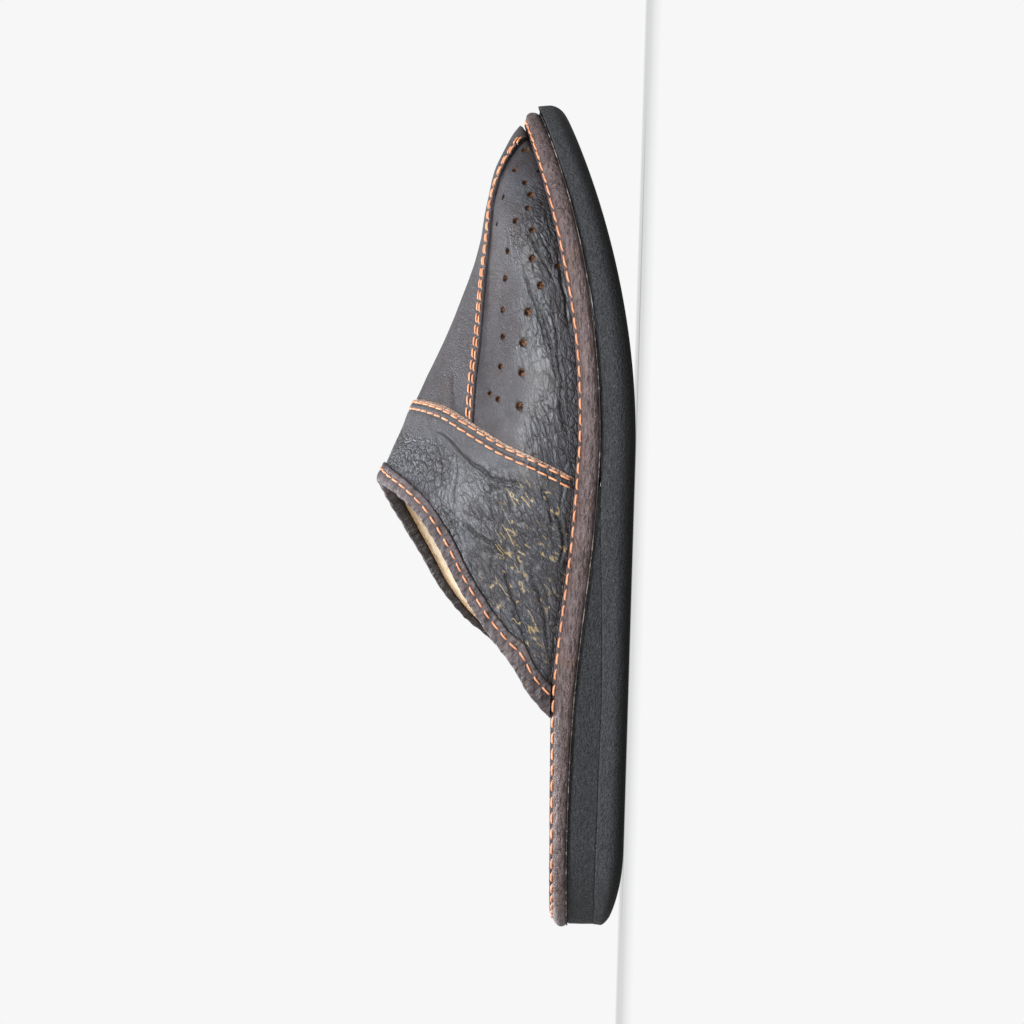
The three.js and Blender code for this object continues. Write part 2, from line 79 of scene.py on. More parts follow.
# Sizes of what the CAD model leaves to the looks
STITCH = {"radius": 0.46, "pitch": 5.5, "length": 4.5}  # rand
PANEL_STITCH = {"radius": 0.36, "pitch": 4.1, "length": 3.75}
SEAM_STITCH = {"radius": 0.38, "pitch": 4.4, "length": 4.1}
COLLAR_STITCH = {"radius": 0.38, "pitch": 4.8, "length": 4.0}
PANEL_ROW_GAP = 1.6  # between the two stitch rows of the centre panel
SEAM_FIRST_ROW = 1.15  # band's front edge to its first stitch row
SEAM_ROW_GAP = 2.5
BINDING_WIDTH = 5.9  # collar edge to the binding's lower edge
BINDING_TUCK = 3.0  # how far the binding reaches down inside
BINDING_SEAM = 3.6  # collar edge to its stitch row
BINDING_SKIN = 0.9
TREAD_PITCH = 2.15  # between the tread's ribs, square to them
TREAD_DEPTH = 0.55
TREAD_RIB = 0.62
TREAD_BORDER = 1.3
HOLE_DEPTH = 1.0
TOE_LEAN = 2.8  # how far the upper's tip reaches out over the rand
TOE_LEAN_LENGTH = 14.0  # length of the tip that leans
BAND_LIFT_LENGTH = 12.0  # how far behind the cross seam the panel still lifts the band


def table(columns, *rows):
    names = columns.split()
    return {name: np.array([row[i] for row in rows], float) for i, name in enumerate(names)}


OUTLINE = table(
    "station half middle",
    (0.0, 0.7, -0.009),
    (0.13, 0.702, -0.012),
    (0.3, 0.722, -0.036),
    (0.4, 0.745, -0.048),
    (0.5, 0.838, -0.044),
    (0.6, 0.948, -0.023),
    (0.7, 1.0, 0.005),
    (0.8, 0.97, 0.036),
    (0.9, 0.88, 0.058),
    (1.0, 0.875, 0.086),
)
LAYERS = table(
    "station outsole wedge platform",
    (0.0, 0.84, 0.93, 0.72),
    (0.1, 0.82, 1.0, 0.72),
    (0.2, 0.8, 1.0, 0.84),
    (0.28, 0.78, 0.93, 1.0),
    (0.34, 0.81, 0.75, 1.02),
    (0.4, 0.86, 0.52, 1.0),
    (0.46, 0.93, 0.26, 1.0),
    (0.52, 0.98, 0.08, 1.0),
    (0.58, 1.0, 0.0, 0.96),
    (0.7, 0.97, 0.0, 0.88),
    (0.8, 0.88, 0.0, 0.95),
    (0.9, 0.8, 0.0, 0.93),
    (1.0, 0.72, 0.0, 0.86),
)
RIDGE = table(
    "reach rise",
    (0.0, 0.0),
    (0.021, 0.038),
    (0.046, 0.092),
    (0.071, 0.137),
    (0.115, 0.207),
    (0.155, 0.254),
    (0.198, 0.293),
    (0.239, 0.33),
    (0.28, 0.362),
    (0.326, 0.397),
    (0.408, 0.471),
    (0.493, 0.555),
    (0.662, 0.722),
    (0.831, 0.872),
    (1.0, 1.0),
    (1.25, 1.1),
    (1.7, 1.14),
)
ARCH = table(
    "station across up ridge",
    (0.2, 2.0, 1.3, 0.05),
    (0.55, 2.0, 1.3, 0.05),
    (0.61, 2.0, 1.34, 0.046),
    (0.655, 2.02, 1.45, 0.042),
    (0.714, 2.1, 1.62, 0.034),
    (0.774, 2.25, 2.0, 0.024),
    (0.86, 2.55, 2.9, 0.01),
    (1.0, 2.6, 3.0, 0.0),
)
SIDE_LINES = table(
    "rise collar_outer collar_inner band",
    (0.0, 0.256, 0.256, 0.54),
    (0.12, 0.286, 0.288, 0.554),
    (0.21, 0.317, 0.31, 0.564),
    (0.3, 0.341, 0.33, 0.573),
    (0.39, 0.366, 0.347, 0.583),
    (0.52, 0.407, 0.371, 0.602),
    (0.65, 0.455, 0.404, 0.622),
    (0.76, 0.491, 0.442, 0.631),
    (0.87, 0.515, 0.481, 0.636),
    (0.95, 0.528, 0.512, 0.639),
    (1.0, COLLAR_TOP, COLLAR_TOP, 0.641),
)
PANEL_EDGES = table(
    "station outer inner",
    (0.6, 0.535, 0.52),
    (0.655, 0.515, 0.5),
    (0.714, 0.47, 0.455),
    (0.774, 0.416, 0.404),
    (0.822, 0.356, 0.348),
    (0.865, 0.299, 0.292),
    (0.889, 0.252, 0.245),
    (0.919, 0.165, 0.16),
    (0.936, 0.095, 0.09),
    (0.951, 0.02, 0.018),
    (0.97, 0.0, 0.0),
)

# Perforations of the side panels, as x and z in the side view, with the punch's diameter
HOLES = (
    (271.5, 41.5, 2.1),
    (264.1, 44.8, 1.6),
    (259.0, 41.2, 1.5),
    (263.3, 36.2, 1.0),
    (254.6, 39.0, 1.9),
    (254.3, 48.6, 1.4),
    (250.1, 39.6, 1.5),
    (245.5, 43.9, 1.7),
    (245.0, 50.4, 1.2),
    (242.3, 37.9, 1.7),
    (234.8, 46.3, 1.6),
    (232.3, 37.3, 1.9),
    (229.8, 28.5, 1.6),
    (225.5, 46.7, 1.8),
    (223.1, 34.3, 2.0),
    (214.5, 47.1, 1.7),
    (213.7, 38.5, 2.1),
    (205.2, 46.8, 1.7),
    (203.3, 39.9, 2.1),
    (194.9, 47.5, 1.6),
    (192.7, 39.9, 2.0),
    (185.8, 51.0, 1.3),
    (183.8, 47.9, 1.5),
    (181.3, 40.2, 2.1),
)

# The main creases, each a soft trough with a low ridge: depth, width, and x and z in the side view
CREASES = (
    (0.4, 0.9, ((173.5, 72.7), (169.3, 64.0), (164.3, 58.6), (156.6, 49.1), (154.2, 39.1), (148.6, 31.3))),
    (0.15, 0.9, ((164.2, 61.9), (156.3, 61.3), (148.3, 62.1), (143.5, 63.2))),
    (0.45, 1.0, ((142.6, 59.4), (136.2, 54.4), (133.3, 47.4), (126.0, 39.3))),
    (0.15, 0.9, ((171.5, 69.9), (160.6, 66.8), (150.2, 67.2))),
    (0.7, 0.9, ((185.6, 24.8), (177.7, 24.6), (170.5, 23.0))),
    (0.7, 0.9, ((234.6, 28.8), (226.1, 26.8), (218.9, 25.4), (211.0, 24.9), (205.9, 24.2))),
    (0.4, 0.6, ((253.2, 39.0), (250.3, 32.3))),
    (0.4, 0.7, ((243.0, 36.6), (233.9, 31.2), (227.4, 28.9))),
    (0.4, 0.7, ((244.2, 40.8), (236.1, 36.4), (228.7, 31.7), (218.9, 26.5))),
    (0.35, 0.7, ((248.2, 33.7), (238.4, 29.2))),
    (0.35, 0.7, ((234.2, 41.8), (220.6, 38.0), (207.0, 33.1), (193.4, 28.9))),
    (0.35, 0.7, ((217.2, 35.1), (203.6, 30.6), (186.6, 26.6))),
    (0.5, 0.8, ((217.4, 30.0), (200.3, 27.7), (183.2, 25.5), (169.4, 24.4))),
    (0.15, 1.4, ((194.9, 64.8), (184.4, 64.5), (178.6, 63.0))),
    (0.6, 1.0, ((148.7, 27.9), (141.9, 24.9), (133.3, 24.0), (124.7, 25.1))),
    (0.55, 1.0, ((155.4, 33.3), (147.0, 28.5), (136.7, 27.1))),
    (0.45, 0.9, ((127.8, 35.9), (114.2, 30.3), (100.5, 28.0), (89.6, 27.1))),
    (0.45, 0.9, ((113.9, 41.7), (103.7, 36.5), (95.2, 32.8))),
    (0.45, 0.9, ((127.5, 46.2), (119.0, 41.8), (100.3, 34.4))),
    (0.4, 0.9, ((159.2, 24.4), (148.8, 25.1), (140.2, 24.2))),
)


def curve(rows, key, column):
    """A smooth curve through one column of a table, straight past both ends."""
    at_rows, values = rows[key], rows[column]
    last = len(at_rows) - 1
    before = np.maximum(np.arange(last + 1) - 1, 0)
    after = np.minimum(np.arange(last + 1) + 1, last)
    slopes = (values[after] - values[before]) / (at_rows[after] - at_rows[before])

    def value(at):
        at = np.asarray(at, float)
        i = np.clip(np.searchsorted(at_rows, at, side="right") - 1, 0, last - 1)
        width = at_rows[i + 1] - at_rows[i]
        t = (at - at_rows[i]) / width
        inside = (
            (1 + 2 * t) * (1 - t) ** 2 * values[i]
            + t * (1 - t) ** 2 * width * slopes[i]
            + t * t * (3 - 2 * t) * values[i + 1]
            + t * t * (t - 1) * width * slopes[i + 1]
        )
        low = values[0] + (at - at_rows[0]) * slopes[0]
        high = values[last] + (at - at_rows[last]) * slopes[last]
        return np.where(at <= at_rows[0], low, np.where(at >= at_rows[last], high, inside))

    return value


def mix(a, b, share):
    return a + (b - a) * share


def smooth(value):
    t = np.clip(value, 0, 1)
    return t * t * (3 - 2 * t)


def unit(vectors, least=0.0):
    """The vectors' directions. One shorter than `least` is divided by that."""
    return vectors / np.maximum(np.linalg.norm(vectors, axis=-1, keepdims=True), least)


def lengths_along(points):
    """Length from the start of a path to each of its points, for one path or for each row of a grid."""
    steps = np.linalg.norm(np.diff(points, axis=-2), axis=-1)
    return np.concatenate([np.zeros((*steps.shape[:-1], 1)), np.cumsum(steps, axis=-1)], axis=-1)


def crossing(rising, low, high, like=0.0):
    """The places between low and high where a rising function passes zero."""
    low = np.full(np.shape(like), float(low))
    high = np.full(np.shape(like), float(high))
    for _ in range(40):
        middle = (low + high) / 2
        above = rising(middle) > 0
        high = np.where(above, middle, high)
        low = np.where(above, low, middle)
    return (low + high) / 2


# Outlines of the sole, one inside another
half_share = curve(OUTLINE, "station", "half")
middle_share = curve(OUTLINE, "station", "middle")


def middle_of_sole(x):
    return middle_share(x / SOLE_LENGTH) * BALL_WIDTH


def round_end(from_end, radius):
    short = 1 - np.clip(from_end / radius, 0, 1)
    return np.sqrt(1 - short * short)


def half_width(x, inset):
    body = half_share(x / SOLE_LENGTH) * BALL_WIDTH / 2 - inset
    heel_end = round_end(x - inset, HEEL_RADIUS - inset)
    toe_end = round_end(SOLE_LENGTH - inset - x, TOE_RADIUS - inset)
    return body * heel_end * toe_end


def before_setback(x, tip, inset):
    fade = np.clip(1 - (tip - x) / TOE_RADIUS, 0, 1) ** 2
    return x + (SOLE_LENGTH - inset - tip) * fade


# Heights of the layers over the floor
outsole_share = curve(LAYERS, "station", "outsole")
wedge_share = curve(LAYERS, "station", "wedge")
platform_share = curve(LAYERS, "station", "platform")


def stance_level(x):
    toeward = np.clip((x / SOLE_LENGTH - BALL_FLAT) / (1 - BALL_FLAT), 0, 1)
    return TOE_SPRING * toeward**TOE_CURVE_POWER


def tread_level(x):
    heelward = np.clip((HEEL_FLAT - x / SOLE_LENGTH) / HEEL_FLAT, 0, 1)
    return stance_level(x) + HEEL_ROLL * heelward**2


def outsole_top(x):
    return stance_level(x) + outsole_share(x / SOLE_LENGTH) * OUTSOLE_THICKNESS


def platform_bottom(x):
    room = np.maximum(wedge_share(x / SOLE_LENGTH), 0) * (WEDGE_THICKNESS + CLEARANCE)
    return outsole_top(x) + CLEARANCE + room


def platform_top(x):
    return platform_bottom(x) + platform_share(x / SOLE_LENGTH) * PLATFORM_THICKNESS


def insole_top(x):
    return platform_top(x) - INSOLE_SINK


def insole_bottom(x):
    return insole_top(x) - INSOLE_THICKNESS


def upper_base(x):
    return insole_top(x) + CLEARANCE


# The upper's own form
def swell_at(rise):
    return rise / BULGE_HEIGHT * np.exp(1 - rise / BULGE_HEIGHT)


TRAY_INSET = RAND_WIDTH + CLEARANCE
UPPER_INSET = TRAY_INSET + SIDE_BULGE * float(swell_at(RAND_LIP))
UPPER_TIP = SOLE_LENGTH - TOE_SETBACK - UPPER_INSET
RIDGE_LENGTH = UPPER_TIP - COLLAR_TOP * SOLE_LENGTH
OVERLAY_FOOT = RAND_LIP + INSOLE_SINK + CLEARANCE
PANEL_OUTER = -(CLEARANCE + PANEL_THICKNESS)
BAND_OUTER = -(CLEARANCE + BAND_THICKNESS)

rise_share = curve(RIDGE, "reach", "rise")
across_power = curve(ARCH, "station", "across")
up_power = curve(ARCH, "station", "up")
ridge_share = curve(ARCH, "station", "ridge")


def ridge_rise(x):
    return rise_share((UPPER_TIP - x) / RIDGE_LENGTH) * INSTEP_HEIGHT


def ridge_height(x, depth):
    slope = ridge_rise(x + 0.5) - ridge_rise(x - 0.5)
    return ridge_rise(x) - depth * np.hypot(1, slope)


def tip_of(depth):
    reach = TOE_RADIUS / 2
    return float(crossing(lambda x: -ridge_height(x, depth), UPPER_TIP - reach, UPPER_TIP + reach))


def arch_at(x, depth, tip):
    inset = UPPER_INSET + depth
    along = before_setback(x, tip, inset)
    half = half_width(along, inset)
    middle = middle_of_sole(along)
    return {
        "outer": middle - half,
        "inner": middle + half,
        "ridge": middle + ridge_share(x / SOLE_LENGTH) * BALL_WIDTH,
        "base": upper_base(x),
        "height": np.maximum(ridge_height(x, depth), 0),
        "across": across_power(x / SOLE_LENGTH),
        "up": up_power(x / SOLE_LENGTH),
    }


def upper_point(x, turn, depth):
    """Points of the upper, whose tip leans a little over the rand."""
    points = arched_point(x, turn, depth)
    rise = points[..., 2] - upper_base(points[..., 0])
    toward_tip = smooth((points[..., 0] - UPPER_TIP + TOE_LEAN_LENGTH) / TOE_LEAN_LENGTH)
    points[..., 0] += TOE_LEAN * toward_tip * smooth((rise - 0.8) / 3.2)
    return points


def arched_point(x, turn, depth):
    """The same without the lean. Depth may be one number, or an array that varies from point to point."""
    x, turn, depth = np.broadcast_arrays(np.asarray(x, float), turn, np.asarray(depth, float))
    if np.ptp(depth) > 0:
        levels = np.unique(np.round([depth.min() - 0.05, depth.max() + 0.05], 2))
        low, high = arched_point(x, turn, levels[0]), arched_point(x, turn, levels[-1])
        share = (depth - levels[0]) / (levels[-1] - levels[0])
        return mix(low, high, share[..., None])
    level = float(depth.flat[0])
    arch = arch_at(x, level, tip_of(level))
    angle = np.pi * turn
    across = np.abs(np.cos(angle)) ** (2 / arch["across"])
    rise = np.abs(np.sin(angle)) ** (2 / arch["up"]) * arch["height"]
    bulge = SIDE_BULGE * swell_at(rise) * np.clip(arch["height"] / (2 * BULGE_HEIGHT), 0, 1)
    outer = arch["ridge"] - across * (arch["ridge"] - arch["outer"]) - bulge
    inner = arch["ridge"] + across * (arch["inner"] - arch["ridge"]) + bulge
    return np.stack([x, np.where(turn < 0.5, outer, inner), arch["base"] + rise], -1)


def turn_at_rise(x, rise, depth):
    arch = arch_at(x, depth, tip_of(depth))
    share = np.clip(rise / np.maximum(arch["height"], 1e-6), 0, 1)
    return np.arcsin(share ** (arch["up"] / 2)) / np.pi


collar_outer = curve(SIDE_LINES, "rise", "collar_outer")
collar_inner = curve(SIDE_LINES, "rise", "collar_inner")
band_station = curve(SIDE_LINES, "rise", "band")


def line_on_upper(station_at_rise, turn):
    turn = np.asarray(turn, float)
    lift = np.abs(np.sin(np.pi * turn))

    def behind(x):
        share = lift ** (2 / up_power(x / SOLE_LENGTH)) * ridge_rise(x) / INSTEP_HEIGHT
        return x - SOLE_LENGTH * station_at_rise(share)

    return crossing(behind, 0.2 * SOLE_LENGTH, 0.72 * SOLE_LENGTH, like=turn)


def collar_at(turn):
    turn = np.asarray(turn, float)
    outer, inner = line_on_upper(collar_outer, turn), line_on_upper(collar_inner, turn)
    return np.where(turn < 0.5, outer, inner)


def band_front_at(turn):
    return line_on_upper(band_station, turn)


panel_edges = {side: curve(PANEL_EDGES, "station", side) for side in ("outer", "inner")}


def panel_turn(x, side, foot=OVERLAY_FOOT):
    drawn = panel_edges[side](x / SOLE_LENGTH) * INSTEP_HEIGHT
    turn = turn_at_rise(x, np.maximum(drawn, foot), 0)
    return turn if side == "outer" else 1 - turn


# Meshes
SHIFT_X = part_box("outsole")[0].x * 1000
SOLE_STATIONS = np.linspace(0, SOLE_LENGTH, 2000)
SHIFT_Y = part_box("outsole")[0].y * 1000 - float(
    np.min(middle_of_sole(SOLE_STATIONS) - half_width(SOLE_STATIONS, 0))
)


def to_row(points):
    """Millimetres of the shoe's own frame to metres of the row's frame."""
    return (np.asarray(points) + np.array([SHIFT_X, SHIFT_Y, 0.0])) / 1000


def new_object(name, data):
    made = bpy.data.objects.new(name, data)
    bpy.context.scene.collection.objects.link(made)
    return made


def make_piece(name, points, faces, materials, replaces=(), face_slots=None, fields=None):
    """One mesh that rides on the shoe's body. Fields are numbers for each point, read by materials."""
    mesh = bpy.data.meshes.new(name)
    mesh.from_pydata(to_row(points).tolist(), [], [tuple(int(i) for i in face) for face in faces])
    mesh.validate()
    for material in materials:
        mesh.materials.append(material)
    if face_slots is not None:
        mesh.polygons.foreach_set("material_index", np.asarray(face_slots, np.int32))
    for field, values in (fields or {}).items():
        layer = mesh.attributes.new(field, "FLOAT", "POINT")
        layer.data.foreach_set("value", np.asarray(values, np.float32))
    mesh.polygons.foreach_set("use_smooth", np.ones(len(mesh.polygons), bool))
    mesh.update()
    piece = new_object(name, mesh)
    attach(piece, "root")
    if replaces:
        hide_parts(*replaces)
    return piece


def grid_faces(rows, columns, start=0, flip=False, closed=False):
    """Faces between the points of a grid that is stored row by row."""
    span = columns if closed else columns - 1
    r, c = np.meshgrid(np.arange(rows - 1), np.arange(span), indexing="ij")
    a = start + r * columns + c
    b = start + r * columns + (c + 1) % columns
    quads = np.stack([a, b, b + columns, a + columns], -1).reshape(-1, 4)
    return quads[:, ::-1] if flip else quads


def border_of(rows, columns, start=0):
    """The points round a grid's border, in order."""
    top = np.arange(columns)
    right = np.arange(1, rows) * columns + columns - 1
    bottom = (rows - 1) * columns + np.arange(columns - 2, -1, -1)
    left = np.arange(rows - 2, 0, -1) * columns
    return start + np.concatenate([top, right, bottom, left])


def normals_of(grid):
    """Normals of a grid of points, from its neighbours."""
    along = np.gradient(grid, axis=0)
    across = np.gradient(grid, axis=1)
    return unit(np.cross(along, across), 1e-9)


def normals_out(grid):
    """Normals of a grid that lies over the foot, turned away from it."""
    normals = normals_of(grid)
    rows, columns = grid.shape[:2]
    return normals if normals[rows // 2, columns // 2, 2] > 0 else -normals


def join_borders(first, second):
    ahead_first, ahead_second = np.roll(first, -1), np.roll(second, -1)
    return np.stack([first, second, ahead_second, ahead_first], -1)


CELL_STEPS = (374761393, 668265263, 2147483647)
SPOT_STEPS = (374761393, 668265263, 1274126177)
SEED_STEP = 974711


def cell_keys(cells, steps, seed):
    """A large whole number for each cell of a lattice, from its place and a seed."""
    return cells[..., 0] * steps[0] + cells[..., 1] * steps[1] + cells[..., 2] * steps[2] + seed * SEED_STEP


def hash_noise(points, seed):
    """Smooth noise from -1 to 1 on a lattice of whole numbers, the same on every run."""
    points = np.asarray(points, float)
    cell = np.floor(points).astype(np.int64)
    share = points - cell
    share = share * share * (3 - 2 * share)
    total = np.zeros(points.shape[:-1])
    for corner in range(8):
        step = np.array([corner & 1, corner >> 1 & 1, corner >> 2 & 1])
        key = cell_keys(cell + step, CELL_STEPS, seed)
        key = (key ^ (key >> 13)) * SPOT_STEPS[2]
        value = ((key ^ (key >> 16)) & 0xFFFF) / 0xFFFF * 2 - 1
        total += value * np.prod(np.where(step, share, 1 - share), axis=-1)
    return total


def layered_noise(points, size, seed, octaves=3):
    total, reach, weight = 0.0, size, 1.0
    for octave in range(octaves):
        total = total + weight * hash_noise(np.asarray(points) / reach, seed + 17 * octave)
        reach, weight = reach / 2, weight / 2
    return total


def path_distance(places, path):
    """Distance from places in the side view to a path, and how far along it the nearest point lies."""
    best = np.full(places.shape[:-1], np.inf)
    along = np.zeros(places.shape[:-1])
    corners = np.asarray(path, float)
    starts = lengths_along(corners)
    for i, step in enumerate(np.diff(starts)):
        line = (corners[i + 1] - corners[i]) / step
        reach = np.clip((places - corners[i]) @ line, 0, step)
        distance = np.linalg.norm(places - corners[i] - reach[..., None] * line, axis=-1)
        nearer = distance < best
        best = np.where(nearer, distance, best)
        along = np.where(nearer, (starts[i] + reach) / starts[-1], along)
    return best, along


def crease_relief(points, outer_side):
    """Troughs and low ridges of the listed creases, in millimetres, and a mask of the troughs."""
    wander = np.stack([layered_noise(points, 9, 3), layered_noise(points, 9, 5)], -1)
    places = points[..., [0, 2]] + 0.9 * wander
    relief = np.zeros(points.shape[:-1])
    mask = np.zeros(points.shape[:-1])
    for depth, width, path in CREASES:
        distance, along = path_distance(places, path)
        ends = smooth(along / 0.22) * smooth((1 - along) / 0.3)
        trough = np.exp(-((distance / (0.55 * width)) ** 2)) * ends
        ridge = np.exp(-(((distance - 1.25 * width) / (0.6 * width)) ** 2)) * ends
        relief += depth * (0.25 * ridge - trough)
        mask = np.maximum(mask, trough)
    return relief * outer_side, mask * outer_side


def worley(places, seed):
    """Distances to the nearest and second nearest of the points scattered one to a cell."""
    cell = np.floor(places).astype(np.int64)
    nearest = np.full(places.shape[:-1], 9.0)
    second = np.full(places.shape[:-1], 9.0)
    for i in range(27):
        at = cell + np.array([i % 3 - 1, i // 3 % 3 - 1, i // 9 - 1])
        key = cell_keys(at, SPOT_STEPS, seed)
        spot = []
        for _ in range(3):
            key = (key ^ (key >> 13)) * 1103515245 + 12345
            spot.append((key >> 8 & 0xFFFF) / 0xFFFF)
        distance = np.linalg.norm(places - at - np.stack(spot, -1), axis=-1)
        second = np.minimum(second, np.maximum(nearest, distance))
        nearest = np.minimum(nearest, distance)
    return nearest, second


def leather_net(points, seed, size, ahead, furrow=0.3):
    """Rounded leather cells between furrows, from 0 in a furrow to 1 on a cell, drawn out along `ahead`."""
    long, wide = size
    wave = [wide * 0.45 * layered_noise(points, wide * 3.5, seed + k, 2) for k in range(3)]
    moved = points + np.stack(wave, -1)
    ahead = np.array([ahead[0], 0, ahead[1]]) / math.hypot(*ahead)
    across = np.array([-ahead[2], 0, ahead[0]])
    places = np.stack([moved @ ahead / long, moved @ across / wide, moved[..., 1] / wide], -1)
    nearest, second = worley(places, seed)
    return smooth((second - nearest) / furrow)


def leather_relief(points):
    """Relief of worn leather, with fields for its nets of furrows, creases and rubbed-off colour."""
    x, y, z = points[..., 0], points[..., 1], points[..., 2]
    height = z - upper_base(x)
    outer_side = smooth((middle_of_sole(x) + 8 - y) / 10)
    relief, trough = crease_relief(points, outer_side)
    behind_seam = smooth((162 - x + 0.35 * (height - 20)) / 10)
    patch = layered_noise(points, 15, 41, 2)
    flexed = smooth((23 - height + 5 * patch) / 13) * smooth((270 - x) / 20) * (1 - behind_seam)
    broad = behind_seam * smooth((height - 34 + 6 * patch) / 12)
    steep = behind_seam * (1 - smooth((height - 34 + 6 * patch) / 12))
    folds = leather_net(points, 37, (9.0, 2.4), (0.96, 0.26), 0.45)
    bunches = leather_net(points, 53, (7.0, 3.4), (0.8, 0.6), 0.5)
    fold = (1 - folds) * 0.22 * flexed * smooth(0.7 + patch)
    fold = fold + (1 - bunches) * 0.26 * np.maximum(steep, 0.7 * broad) * smooth(0.7 + patch)
    wide = leather_net(points, 31, (3.1, 2.4), (0.97, 0.2), 0.3)
    fold = fold + 0.13 * (1 - wide) * broad
    soft = 0.3 * layered_noise(points, 26, 7, 2) + 0.1 * layered_noise(points, 8, 9, 2)
    calm = smooth((UPPER_TIP - x) / 12)
    rubbed = behind_seam * smooth((33.5 - 0.17 * (x - 117) - height) / 6) * outer_side
    rubbed = rubbed * mix(1, 0.35, smooth((12 - height) / 8) * smooth((135 - x) / 15))
    toward_toe = smooth((x - 212) / 16)
    fields = {
        "slant": np.clip(0.22 + flexed * (1 - toward_toe), 0, 1) * (1 - behind_seam),
        "broad": broad + 0.28 * (1 - behind_seam),
        "steep": 0.8 * steep + flexed * toward_toe,
        # mask of the painted shade in the crease troughs and folds
        "creased": np.clip(trough + fold, 0, 1),
        "rubbed": rubbed,
    }
    return (relief - fold + soft) * calm, fields


def resampled(turns, xs, depth, count, edges=(), spread=None):
    """Turns spaced by length along each row of a patch, with extra ones close to its borders."""
    points = upper_point(xs, turns, depth)
    reach = lengths_along(points)
    made = []
    shares = np.linspace(0, 1, count)
    if spread is not None:
        shares = np.interp(shares, *spread)
    for row in range(len(points)):
        length = reach[row, -1]
        near = np.minimum(np.array(edges), length / 4)
        first = near[-1] if len(edges) else 0.0
        inner = first + shares * (length - 2 * first)
        wanted = np.concatenate([near[:-1], inner, length - near[:-1][::-1]]) if len(edges) else inner
        made.append(np.interp(wanted, reach[row], turns[row]))
    return np.array(made)


def coarser(grid, step):
    """Every so many rows and columns of a grid."""
    return grid[::step, ::step]


def fitting(count, step):
    """The nearest count of grid lines that a coarser grid can share its borders with."""
    return (count - 1) // step * step + 1


def border_wall(fine, coarse, step):
    """Faces between a fine border and a coarse one, which has one point to every `step` fine ones."""
    count = len(coarse)
    faces = []
    for i in range(count):
        strip = [fine[(i * step + k) % len(fine)] for k in range(step + 1)]
        faces.append([coarse[i], *strip, coarse[(i + 1) % count]])
    return faces


INNER_STEP = 4
HOLE_REACH = 1.35  # half the block of faces that a hole takes, in radii of the hole
HOLE_SLOT = 2  # material of a hole's lower walls and bottom

# A hole's rings, from the leather's face down: share of its radius, drop, and how far the ring follows
# the leather's own unevenness
HOLE_RINGS = (
    (1.22, 0.0, 1.0),
    (1.05, -0.03, 1.0),
    (1.0, -0.16, 0.8),
    (0.95, -0.55, 0.3),
    (0.93, -HOLE_DEPTH, 0.0),
)
LIT_RINGS = 3  # rings of faces that still show the leather


